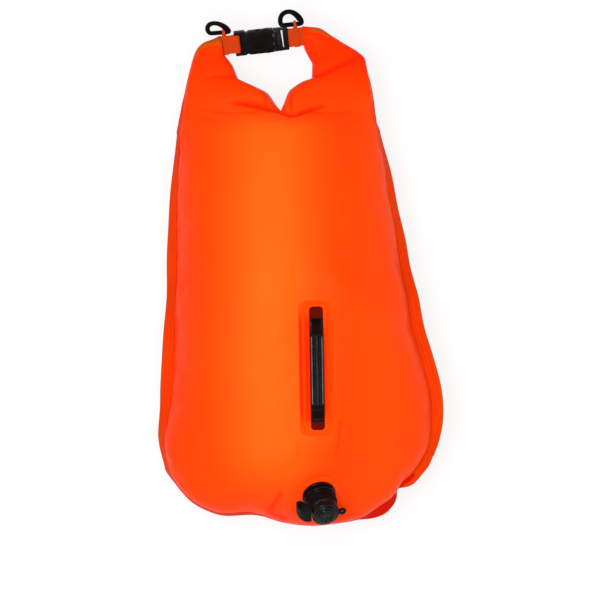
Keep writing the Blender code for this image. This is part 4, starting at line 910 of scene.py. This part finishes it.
def joined(name, pieces):
    """Several pieces of one part as one mesh, each with its own material."""
    mesh = bpy.data.meshes.new(name)
    verts, faces, tags = [], [], []
    for piece in pieces:
        start, data = len(verts), piece.data
        for mat in data.materials:
            if mesh.materials.find(mat.name) < 0:
                mesh.materials.append(mat)
        verts += [tuple(v.co) for v in data.vertices]
        for face in data.polygons:
            faces.append([start + i for i in face.vertices])
            tags.append(mesh.materials.find(data.materials[face.material_index].name))
        bpy.data.objects.remove(piece)
    mesh.from_pydata(verts, [], faces)
    mesh.polygons.foreach_set("material_index", tags)
    mesh.update()
    return link_object(name, mesh)


def band(name, path, thick, stations, place, mat, closed=False):
    """A flat strap along a path seen from its edge, with rounded selvedges."""
    path = np.array(path)
    run = np.roll(path, -1, 0) - np.roll(path, 1, 0) if closed else np.gradient(path, axis=0)
    side = unit(run)[:, ::-1] * (-1, 1)
    level = np.abs(stations - stations.mean()) / (stations[-1] - stations.mean())
    half = thick / 2 * (0.3 + 0.7 * np.sqrt(np.clip(1 - level ** 6, 0, 1)))
    rings = []
    for point, off in zip(path, side):
        ring = [place(point + off * h, s) for s, h in zip(stations, half)]
        rings.append(ring + [place(point - off * h, s) for s, h in zip(stations[::-1], half[::-1])])
    return ring_loft(name, np.array(rings), mat, closed=closed, sharp=50)


def turned(name, profile, mat, segments=96, ribs=None):
    """A turned piece; ribs = (count, low, high, depth) stand round part of its height."""
    angle = 2 * pi * np.arange(segments) / segments
    rings = []
    for r, z in profile:
        radius = np.full(segments, float(r))
        if ribs and ribs[1] <= z <= ribs[2]:
            radius += ribs[3] * np.clip(np.cos(ribs[0] * angle) * 1.6, -1, 1) * 0.5
        rings.append(np.stack([radius * np.cos(angle), radius * np.sin(angle), np.full(segments, z)], 1))
    solid = min(profile[0][0], profile[-1][0]) < 1e-6
    obj = ring_loft(name, np.array(rings), mat, closed=not solid, caps=False)
    if solid:
        clean_mesh(obj.data, 1e-6)
    return obj


def stitch(name, places, along, length, body, width=0.0005):
    """Short threads on the faces of a strap."""
    verts, faces = [], []
    along = np.array(along)
    for place in places:
        up = np.array([0, 0, np.sign(place[2])])
        across = np.cross(up, along)
        start = len(verts)
        for t, r in ((-1, 0.25), (-0.8, 0.75), (0, 1), (0.8, 0.75), (1, 0.25)):
            for turn in 2 * pi * np.arange(6) / 6:
                round_it = across * cos(turn) + up * 0.7 * sin(turn)
                verts.append(place + along * t * length / 2 + round_it * r * width / 2
                             - up * abs(t) * width * 0.2)
        faces += grid_faces(5, 6, start, wrap=True)
        faces += [tuple(range(start, start + 6))[::-1], tuple(range(start + 24, start + 30))]
    threads = mesh_object(name, verts, faces, STITCH)
    clean_mesh(threads.data)
    place_piece(threads, STRAP, body, "orange_webbing")


def squared(wave, power):
    """A sine or cosine drawn towards a square wave."""
    return np.sign(wave) * abs(wave) ** power


# strap: webbing, buckle, D-rings
WEB_WIDE, WEB_THICK, WEB_GAP, BAR = 0.02, 0.0013, 0.0004, 0.0032
SOCKET_BAR, PLUG_BAR, PRONG_X, PRONG_Y, RING_Y, RING_WIRE = 0.039, 0.0135, 0.003, 0.0086, 0.0142, 0.0034


def make_webbing(name, start, bar, body, stitch_rows):
    way = 1 if bar > start else -1
    layer = (WEB_THICK + WEB_GAP) / 2
    radius = BAR / 2 + GAP + WEB_THICK / 2
    run = [(x, layer) for x in np.linspace(start, bar - way * 0.007, 16)]
    path = run + arc(bar, 0, way * radius, radius, 120, -120, 25) + flipped(run[::-1], -1)
    strip = band(name + "_strip", path, WEB_THICK, spread(WEB_WIDE / 2, 15), lambda p, s: (p[0], s, p[1]),
                 STRAP_ORANGE)
    place_piece(strip, STRAP, body, "orange_webbing", name)
    face = layer + WEB_THICK / 2 + 0.00005
    stitch(name + "_stitching", [(x, y, up * face) for x in stitch_rows
                                 for y in np.linspace(-0.0082, 0.0082, 8) for up in (1, -1)],
           (0.35, 0.94, 0), 0.0019, body)


def cross_bar(x, half):
    circle = arc(x, 0, BAR / 2, BAR / 2, 0, 360, 25)[:-1]
    return ring_loft("bar", np.array([[(p, y, q) for p, q in circle] for y in (-half, half)]), BLACK)


def make_socket():
    upper = [(-0.0355, 0.0103), (-0.042, 0.0103), (-0.042, 0.0136), (-0.0305, 0.0136), (-0.0295, 0.0116),
             (-0.0276, 0.0116), (-0.0262, 0.0128), (0, 0.0128)]
    outline = [(x, max(y, -0.0127)) for x, y in upper + flipped(upper[::-1], -1)]
    shell_body = slab("buckle_socket", soften(outline, 0.0011), -0.0046, 0.0046, 0.0009, segments=4)
    carve(shell_body, slab("cut", rectangle(-0.0265, 0.004, -0.0107, 0.0107), -0.0027, 0.0027, 0.0003))
    window = soften(rectangle(-0.0185, -0.0042, -0.017, 0.017), 0.0006)
    carve(shell_body, slab("cut", window, -0.0027, 0.0027))
    panel = soften([(-0.0238, -0.0064), (-0.003, -0.0084), (-0.003, 0.0084), (-0.0238, 0.0064)], 0.003, 6)
    for low, high in ((0.0042, 0.006), (-0.006, -0.0042)):
        carve(shell_body, slab("cut", panel, low, high, mat=BLACK_GLOSS))
    parts = [shell_body, slab("floor", rectangle(-0.0374, -0.0345, -0.0105, 0.0105), -0.0044, -0.0037),
             cross_bar(-SOCKET_BAR, 0.0121)]
    for face in (0.0046, -0.0046):
        for x in -0.0285 - 0.0014 * np.arange(4):
            rib = soften(rectangle(x - 0.0004, x + 0.0004, -0.0078, 0.0078), 0.0003)
            parts.append(slab("rib", rib, face - 0.0002, face + 0.0002, 0.00015, segments=2))
    place_piece(joined("buckle_socket_shell", parts), STRAP, "bag", "black_plastic", "buckle_socket")


def make_plug():
    bar_end = PLUG_BAR + BAR / 2 + 0.0009
    head = soften([(0.0001, -0.0124), (0.0098, -0.0121), (0.0084, 0.0121), (0.0001, 0.0124)], 0.0007)
    block = slab("buckle_plug", head, -0.0041, 0.0041, 0.0006)
    seat = arc(PRONG_X, PRONG_Y, 0.0024, 0.0024, -90, 90, 13)
    seat += [(0, 0.011), (-0.004, 0.0111), (-0.004, 0.0061), (0, 0.0062)]
    for side in (1, -1):
        carve(block, slab("cut", flipped(seat, side), -0.0026, 0.0026))
    tongue = [(0.0031, -0.0028), (0.0031, 0.0028), (-0.0188, 0.00224), (-0.0235, 0.00112),
              (-0.0235, -0.00112), (-0.0188, -0.00224)]
    carve(block, slab("tongue", soften(tongue, 0.001), -0.0024, 0.0024, 0.0004), "UNION")
    parts = [block, cross_bar(PLUG_BAR, 0.0111)]
    rail = [(0.007, 0.0104), (bar_end, 0.0104), (bar_end, 0.012), (0.007, 0.0122)]
    for side in (1, -1):
        parts.append(slab("rail", flipped(rail, side), -0.004, 0.004, 0.0004, segments=2))
    bridge = soften([(0.0106, -0.0119), (bar_end, -0.0119), (bar_end, 0.0119), (0.0104, 0.0119)], 0.0005)
    parts.append(slab("bridge", bridge, 0.0035, 0.0042, 0.0002, segments=2))
    rim = soften(rectangle(0.0014, 0.0046, -0.01, 0.01), 0.0009)
    for face in (0.0041, -0.0041):
        parts.append(slab("rim", rim, face - 0.0002, face + 0.00025, 0.0002, segments=2))
    place_piece(joined("buckle_plug_shell", parts), STRAP, "plug", "black_plastic", "buckle_plug")


def make_prong(name, side, body):
    half = 0.0015
    head = [(-0.0075, half), (-0.0075, 0.005), (-0.01125, 0.005), (-0.01275, 0.00425), (-0.015, 0.00455),
            (-0.0189, 0.0032), (-0.027, -0.002), (-0.027, -0.0035), (-0.0216, -0.0018),
            (-0.0075, -half)]
    outline = arc(0, 0, 0.0021, 0.0021, -130, 130, 15) + soften(head, 0.0006, closed=False)
    prong = slab(name + "_shell", flipped(outline, side), -0.0023, 0.0023, 0.0004)
    place = STRAP @ Matrix.Translation((PRONG_X, side * PRONG_Y, 0))
    place_piece(prong, place, body, "black_plastic", name)


def ring_tab(name, center_x, yaw, body):
    low_radius, high_radius = WEB_THICK + WEB_GAP / 2 + GAP + 0.0003, RING_WIRE + 0.00055
    low_y, shoulder = -0.01, 0.00945
    run = [(shoulder + (low_y - shoulder) * t, low_radius) for t in (0.66, 0.33, 0)]
    path = run[2:] + arc(RING_Y, 0, high_radius, high_radius, 120, -120, 25) + flipped(run[::-1], -1)
    path += arc(low_y, 0, 0.35 * low_radius, -low_radius, 90, 270, 13) + run[:2]

    def place(point, station):
        twist = float(step((point[0] - shoulder) / (RING_Y - RING_WIRE * 0.75 - shoulder)))
        station = station * (1 - 0.48 * twist)
        return (center_x + station, point[0], point[1] + station * tan(yaw) * twist)

    loop = band(name + "_loop", path[::-1], 0.0007, spread(0.0027, 9), place, STRAP_ORANGE, closed=True)
    place_piece(loop, STRAP, body, "orange_webbing", name)
    stitch(name + "_stitching", [(center_x + x, y, up * (low_radius + 0.0004)) for y in (0.0086, -0.0086)
                                 for x in (-0.002, 0, 0.002) for up in (1, -1)],
           (1.0, 0, 0), 0.0014, body)


def d_ring(name, tab_x, yaw, lean, roll, slide, body):
    half, shoulder = 0.01215, 0.0032
    rise = 0.0215 - 0.0042 - shoulder
    path = [(x, 0) for x in np.linspace(-half + shoulder, half - shoulder, 9)]
    path += [(half - shoulder * 0.25, shoulder * 0.3)] + arc(0, shoulder, half, rise, 0, 180, 15)
    path += [(-half + shoulder * 0.25, shoulder * 0.3), path[0]]
    line = curve([(*q, 0) for q in path], np.linspace(0, 1, 97))[:-1]
    out = unit(np.roll(line, -1, 0) - np.roll(line, 1, 0))[:, [1, 0, 2]] * (1, -1, 0)
    heavy = step(line[:, 0] / half) * step((line[:, 1] - shoulder) / shoulder)
    rings = []
    for a in 2 * pi * np.arange(20) / 20:
        u, v = 0.0022 * squared(cos(a), 0.7), 0.0018 * squared(sin(a), 0.7)
        inward = 1.35 + 0.9 * heavy if u < 0 else np.ones(len(line))
        rings.append(line + out * (u * inward)[:, None] + (0, 0, v))
    ring = ring_loft(name + "_shell", np.stack(rings, 1), BLACK, closed=True)
    turn = Matrix.Rotation(-yaw, 4, "Y") @ Matrix.Rotation(lean, 4, "X") @ Matrix.Rotation(roll, 4, "Z")
    place = Matrix.Translation((tab_x, RING_Y, 0)) @ turn @ Matrix.Translation((-slide, 0, 0))
    place_piece(ring, STRAP @ place, body, "black_plastic", name, angle=60)


def roll_spiral(name, end_x, side, body):
    """The wound layers that show on the roll's end."""
    turns = np.linspace(0.4, 1, 110)
    path = [(0.0101 * t * cos(a), 0.0112 * t * sin(a)) for t, a in zip(turns ** 1.1, turns * 2 * pi * 3.4)]
    stations = np.sort(end_x + side * np.array([-0.0009, -0.0004, 0.0016, 0.003]))
    strip = band(name, path, 0.0011, stations, lambda p, s: (s, p[0], p[1]), INNER_ORANGE)
    place_piece(strip, STRAP, body, "orange_fabric", angle=60)


make_webbing("webbing_left", -0.0562, -SOCKET_BAR, "bag", (-0.0478, -0.0462))
make_webbing("webbing_right", 0.0322, PLUG_BAR, "plug", (0.0192, 0.0206))
make_socket()
make_plug()
make_prong("prong_upper", 1, "spring_arm_upper")
make_prong("prong_lower", -1, "spring_arm_lower")
LEFT_RING, RIGHT_RING = np.radians((20, 35, 6)), np.radians((-22, -48, -8))
LEFT_TAB, RIGHT_TAB = -0.0523, 0.0247
ring_tab("ring_tab_left", LEFT_TAB, LEFT_RING[0], "bag")
ring_tab("ring_tab_right", RIGHT_TAB, RIGHT_RING[0], "plug")
d_ring("d_ring_left", LEFT_TAB, *LEFT_RING, 0.0048, "ring_left")
d_ring("d_ring_right", RIGHT_TAB, *RIGHT_RING, 0.0035, "ring_right")
roll_spiral("roll_end_left", LEFT_END, -1, "bag")
roll_spiral("roll_end_right", RIGHT_END, 1, "plug")


# grip and its welded patch
def rounded_loop(width, length, corner, per_corner=10, per_side=14):
    """An oblong with round corners, its points evenly shared out."""
    x, y = width / 2 - corner, length / 2 - corner
    arcs = [arc(cx * x, cy * y, corner, corner, start, start + 90, per_corner)
            for cx, cy, start in ((1, 1, 0), (-1, 1, 90), (-1, -1, 180), (1, -1, 270))]
    points = []
    for here, after in zip(arcs, arcs[1:] + arcs[:1]):
        a, b = np.array(here[-1]), np.array(after[0])
        points += here + [tuple(a * (1 - t) + b * t) for t in np.linspace(0, 1, per_side + 2)[1:-1]]
    return np.array(points)


def make_grip_patch():
    outer, inner = rounded_loop(0.038, 0.143, 0.009), rounded_loop(0.014, 0.129, 0.0035)
    heights = [(0.0, -0.0006), (0.0, 0.0001), (0.02, 0.0003), (0.06, 0.0005), (0.16, 0.0006), (0.2, 0.0004),
               (0.27, 0.0004), (0.31, 0.0008), (0.45, 0.0015), (0.6, 0.0026), (0.74, 0.0032),
               (0.86, 0.0034), (0.94, 0.0031), (0.985, 0.0022), (1.0, 0.001), (1.0, -0.0006)]
    rings = [np.column_stack([outer * (1 - share) + inner * share, np.full(len(outer), OUT + height)])
             for share, height in heights]
    patch = ring_loft("grip_patch_weld", np.array(rings), PATCH_LIT_ORANGE, closed=True)
    across, along = positions(patch.data)[:, :2].T
    # painted shade: the patch reddens down its left side and in the groove beside the slot, and a little on
    # its right
    red = 0.95 * np.exp(-((across + 0.0168) / 0.0018) ** 2)
    red += 0.85 * step((-across - 0.006) / 0.002) * step((across + 0.0132) / 0.0012)
    red += 0.42 * step((across - 0.007) / 0.002) * step((0.0185 - across) / 0.008)
    set_share(patch.data, "painted_shade_share", red * (1 - step((np.abs(along) - 0.048) / 0.014)))
    place_piece(patch, GRIP, "bag", "orange_fabric", "grip_patch")
    # a dark red sheet in the slot: painted shade of its shadowed floor
    lining = [tuple(q) for q in inner * (1.02, 1.003)]
    place_piece(slab("grip_slot_shade_sheet", lining, OUT - 0.0004, OUT + 0.0002, mat=SLOT_SHADE_RED), GRIP, "bag",
                "orange_fabric")


def make_grip():
    half, flat, rise, thick, shift = 0.054, 0.036, 0.0175, 0.0046, -0.0018
    foot_half, on_patch = 0.0085, OUT + GAP
    middle = OUT + (GAP + thick) / 2
    places = np.linspace(-half, half, 150)

    def lift(y):
        return step((half - np.abs(y)) / (half - flat)) * rise

    path = np.column_stack([places, lift(places)])
    side = unit(np.gradient(path, axis=0))[:, ::-1] * (-1, 1)
    u = spread(1, 45)
    plate = thick / 2 * (0.62 + 0.38 * np.sqrt(1 - np.abs(u) ** 9))
    hollow = np.clip(1.25 - np.abs((np.abs(u) - 0.42) / 0.19) ** 3, 0, 1)
    rib_beside = np.clip(1.2 - np.abs(u / 0.4) ** 3, 0, 1)
    body = []
    for (place, height), off in zip(path, side):
        main = float(step((flat + thick - abs(place)) / thick))
        wide, top = 0.0049 + (0.0063 - 0.0049) * main, plate - 0.0011 * main * hollow
        top = top - 0.0007 * (1 - main) * rib_beside
        if place < -flat - 0.001:
            wide, top = 0.0063, plate
        outline = list(zip(u, top)) + list(zip(u[::-1], -plate[::-1]))
        y, z = place + shift, middle + height
        body.append([(w * wide, y + off[0] * t, z + off[1] * t) for w, t in outline])
    bow = ring_loft("bow", np.array(body), BLACK_GRIP)
    bow.data.materials.append(GRIP_RIDGE_HIGHLIGHT)
    bow.data.materials.append(GRIP_EDGE_HIGHLIGHT)
    tags = np.zeros(len(bow.data.polygons), np.int32)
    grid = tags[:(len(places) - 1) * 2 * len(u)].reshape(len(places) - 1, 2 * len(u))
    on_main = np.nonzero(np.abs((places[1:] + places[:-1]) / 2) < flat - 0.001)[0][:, None]
    middle_u = np.abs((u[1:] + u[:-1]) / 2)
    # painted highlights: pale grey down the middle rib and along both edges of the grip
    grid[on_main, np.nonzero(middle_u < 0.08)[0]] = 1
    grid[on_main, np.nonzero(np.abs(middle_u - 0.88) < 0.06)[0]] = 2
    bow.data.polygons.foreach_set("material_index", tags)
    parts = [bow]
    for end in (1, -1):
        y = end * (half - foot_half) + shift
        foot = soften(rectangle(-0.013, 0.013, y - foot_half, y + foot_half), 0.001)
        parts.append(slab("foot", foot, on_patch, on_patch + 0.0011, 0.0003))
    for y in -0.0412 - 0.0026 * np.arange(5):
        top = middle + lift(y) + thick / 2
        rib = soften(rectangle(-0.0052, 0.0052, y + shift - 0.0005, y + shift + 0.0005), 0.0003)
        parts.append(slab("rib", rib, top - 0.0008, top + 0.0009, 0.0003, RUBBER, 2))
    place_piece(joined("grip_bow", parts), GRIP, "bag", "black_plastic", "grip")


make_grip_patch()
make_grip()


# valve
EDGE, TUBE_LOW, CAP_RADIUS = 0.0008, -0.0055, 0.0149
PATCH_TOP = OUT + GAP + 0.0008
FOOT = PATCH_TOP + GAP
FLANGE_TOP = FOOT + 0.003
RING_LOW = FLANGE_TOP + 0.0027
RING_HIGH = RING_LOW + 0.003
BASE_TOP = 0.015
SEAL_TOP = BASE_TOP + GAP + 0.0008
COLLAR_LOW = SEAL_TOP + GAP
COLLAR_HIGH = COLLAR_LOW + 0.004
NECK_HIGH = COLLAR_HIGH + 0.008
TETHER_LOW = COLLAR_HIGH + GAP
TETHER_HIGH = TETHER_LOW + 0.0014
SKIRT_LOW = TETHER_HIGH + GAP
CAP_HIGH = SKIRT_LOW + 0.016
ROOF = NECK_HIGH + GAP
PULL_Z = ROOF + (CAP_HIGH - ROOF) / 2


def place_turned(name, profile, mat, segments, body, slot, node):
    place_piece(turned(name, profile, mat, segments), VALVE, body, slot, node)


def make_valve_base():
    patch = soften([
        (0.0106, OUT - 0.0005), (0.0228, OUT - 0.0005), (0.0228, OUT + 0.0004), (0.0215, OUT + 0.0009),
        (0.0205, OUT + 0.0009), (0.0203, OUT + 0.0006), (0.0196, OUT + 0.0006), (0.0194, PATCH_TOP - 0.0001),
        (0.0106, PATCH_TOP - 0.0001)], 0.0004, 2)
    place_turned("valve_patch_weld", patch, PATCH_LIT_ORANGE, 120, "bag", "orange_fabric", "valve_patch")
    base = soften([
        (0.0087, TUBE_LOW), (0.0103, TUBE_LOW), (0.0103, FOOT), (0.018, FOOT), (0.018, FLANGE_TOP),
        (0.0142, FLANGE_TOP + 0.0004), (0.0142, RING_LOW), (0.0171, RING_LOW), (0.0171, RING_HIGH),
        (0.0142, RING_HIGH + 0.0004), (0.0142, BASE_TOP), (0.0087, BASE_TOP)], EDGE)
    place_turned("valve_base_shell", base, BLACK_GLOSS, 120, "bag", "black_plastic", "valve_base")
    seal = soften(rectangle(0.0087, 0.0134, BASE_TOP + GAP, SEAL_TOP), 0.0003, 3)
    place_turned("valve_seal_ring", seal, RUBBER, 96, "bag", "black_rubber", "valve_seal")


def make_valve_insert():
    tube_low, spider_high = TUBE_LOW + 0.001 + GAP, 0.0018
    profile = soften([
        (0.0063, tube_low), (0.0084, tube_low), (0.0084, COLLAR_LOW), (0.0162, COLLAR_LOW),
        (0.0162, COLLAR_HIGH), (0.0112, COLLAR_HIGH), (0.0112, NECK_HIGH), (0.0063, NECK_HIGH)], EDGE)
    insert = turned("insert", profile, BLACK, 144,
                    (48, COLLAR_LOW + 0.0006, COLLAR_HIGH - 0.0006, 0.00045))
    spider = slab("spider", arc(0, 0, 0.003, 0.003, 0, 360, 33)[:-1], 0, spider_high, 0.0003)
    for x, y in ((0.00735, 0.0009), (0.0009, 0.00735)):
        carve(spider, slab("arm", rectangle(-x, x, -y, y), 0, spider_high), "UNION")
    carve(spider, slab("hole", arc(0, 0, 0.0014, 0.0014, 0, 360, 33)[:-1], -0.002, 0.004))
    place_piece(joined("valve_insert_shell", [insert, spider]), VALVE, "valve_turn", "black_plastic",
                "valve_insert")
    top, bead = tube_low - GAP, spider_high + 0.0015 + GAP
    flap = [(0, top - 0.001), (0.007, top - 0.0007), (0.0078, top - 0.0004), (0.0078, top), (0.0016, top),
            (0.0011, top + 0.0004), (0.0011, bead), (0.0017, bead), (0.0019, bead + 0.0005),
            (0.0018, bead + 0.0011), (0.001, bead + 0.0018), (0, bead + 0.0019)]
    place_turned("check_flap_shell", flap, RUBBER, 48, "flap", "black_rubber", "check_flap")


def pull_ring():
    """The flat ring at the cap's side."""
    center, rings = CAP_RADIUS + 0.0042 - 0.0012, []
    for a in 2 * pi * np.arange(48) / 48:
        ring = []
        for b in 2 * pi * np.arange(16) / 16:
            r = 0.0028 + 0.0015 * squared(cos(b), 0.8)
            ring.append((center + r * cos(a), r * sin(a), PULL_Z + 0.0013 * squared(sin(b), 0.8)))
        rings.append(ring)
    return ring_loft("pull", np.array(rings), BLACK, closed=True, sharp=70)


def make_cap():
    plug_low = ROOF - 0.0062
    groove_low = plug_low + 0.00095
    groove_high = groove_low + 0.0019 + GAP
    top = CAP_HIGH
    profile = soften([
        (0, plug_low), (0.0057, plug_low), (0.0057, groove_low), (0.0046, groove_low), (0.0046, groove_high),
        (0.0057, groove_high), (0.0057, ROOF), (0.0115, ROOF), (0.0115, SKIRT_LOW), (0.0138, SKIRT_LOW),
        (0.0147, SKIRT_LOW + 0.001), (0.0147, SKIRT_LOW + 0.0038), (0.0136, SKIRT_LOW + 0.0046),
        (0.0136, ROOF - 0.0008), (CAP_RADIUS, ROOF), (CAP_RADIUS, top - 0.0044), (0.0142, top - 0.0036),
        (0.0124, top - 0.0035), (0.012, top - 0.0024), (0.0113, top - 0.0018), (0.0098, top - 0.0017),
        (0.0094, top - 0.0006), (0.0086, top), (0.007, top), (0.0065, top - 0.0006),
        (0.0057, top - 0.0006), (0.0052, top - 0.0001), (0, top - 0.0002)], 0.0004, 3, closed=False)
    cap = turned("cap", profile, BLACK_GLOSS, 144, (36, SKIRT_LOW + 0.0012, ROOF - 0.0008, 0.00055))
    place_piece(joined("valve_cap_shell", [cap, pull_ring()]), VALVE, "cap", "black_plastic", "valve_cap")
    seal = soften(rectangle(0.00475, 0.00585, groove_low + 0.00015, groove_high - 0.00015), 0.0005)
    place_turned("cap_seal_ring", seal, RUBBER, 48, "cap", "black_rubber", "cap_seal")


def make_tether():
    ring = turned("collar", soften(rectangle(0.0115, 0.0154, TETHER_LOW, TETHER_HIGH), 0.0004, 3), RUBBER)
    middle, reach = (TETHER_LOW + TETHER_HIGH) / 2, CAP_RADIUS + 0.0105
    path = [(-0.0138, middle), (-0.017, middle - 0.0006), (-reach * 0.82, middle - 0.0044),
            (-reach * 0.95, middle - 0.0068), (-reach * 1.04, middle - 0.0062),
            (-reach * 1.08, middle - 0.0025), (-reach * 1.05, middle + 0.0035),
            (-reach * 0.94, PULL_Z - 0.0034), (-reach * 0.8, PULL_Z - 0.0004), (-0.0155, PULL_Z)]
    strap = band("strap", curve(path, np.linspace(0, 1, 60)), 0.0014, spread(0.007, 11),
                 lambda q, s: (q[0], s, q[1]), RUBBER)
    tether = joined("valve_tether_shell", [ring, strap])
    place_piece(tether, VALVE, None, "black_rubber", "valve_tether")
    start, end = (VALVE @ Vector((-0.021, 0, z)) for z in (middle + 0.0006, PULL_Z - 0.0006))
    tuple(start)
    tuple(end)
    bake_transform(tether)


make_valve_base()
make_valve_insert()
make_cap()
make_tether()


# camera, floor and light
def make_stage():
    floor, tree, shader = new_material("studio_floor", Roughness=0.9, Base_Color=(0.8, 0.8, 0.8),
                                       Specular_IOR_Level=0.1)
    seen = add_node(tree, "LightPath").outputs
    ray = math_node(tree, "MAXIMUM", seen["Is Camera Ray"], seen["Is Glossy Ray"])
    ray = math_node(tree, "MAXIMUM", ray, seen["Is Transmission Ray"])
    glow = add_node(tree, "Emission", Strength=1.0)
    blend = add_node(tree, "MixShader", {0: math_node(tree, "MULTIPLY", ray, 0.82),
                                         1: shader.outputs[0], 2: glow.outputs[0]})
    fill(tree, tree.nodes["Material Output"].inputs["Surface"], blend.outputs[0])
    places = np.linspace(-3, 3, 24)
    sheet = mesh_object("studio_sweep", [(x, y, 0.0) for y in places for x in places], grid_faces(24, 24),
                        floor)
    sensor, distance = 36, 3.0
    camera = link_object("camera", bpy.data.cameras.new("camera"))
    camera.data.sensor_width = sensor
    camera.data.lens = sensor * distance / (PHOTO * PIXEL)
    camera.data.clip_end = 50
    camera.location = (0, (ORIGIN_Y - PHOTO / 2) * PIXEL, SEAM_Z + distance)
    bpy.context.scene.camera = camera
    world = bpy.data.worlds.new("studio")
    world.use_nodes = True
    background = world.node_tree.nodes["Background"].inputs
    background["Color"].default_value = (1, 1, 1, 1)
    background["Strength"].default_value = 0.34
    bpy.context.scene.world = world
    lamps = [
        ("key_softbox", (-0.22, 0.02, 2.2), (0, -0.03, 0.08), 0.8, 1.0, 48),
        ("left_strip", (-1.3, 0.0, 0.34), (0, 0, 0.1), 0.22, 1.8, 2.6),
        ("right_strip", (1.3, 0.1, 0.3), (0, 0.05, 0.1), 0.22, 1.8, 3.8),
        ("bottom_strip", (0.1, -1.4, 0.34), (0, -0.15, 0.08), 1.6, 0.24, 3.6),
    ]
    for name, place, target, wide, tall, power in lamps:
        lamp = link_object(name, bpy.data.lights.new(name, "AREA"))
        lamp.data.shape = "RECTANGLE"
        lamp.data.size, lamp.data.size_y, lamp.data.energy = wide, tall, power
        lamp.location = place
        lamp.rotation_euler = (Vector(target) - Vector(place)).to_track_quat("-Z", "Y").to_euler()


make_stage()
bpy.context.scene.view_settings.view_transform = "Standard"
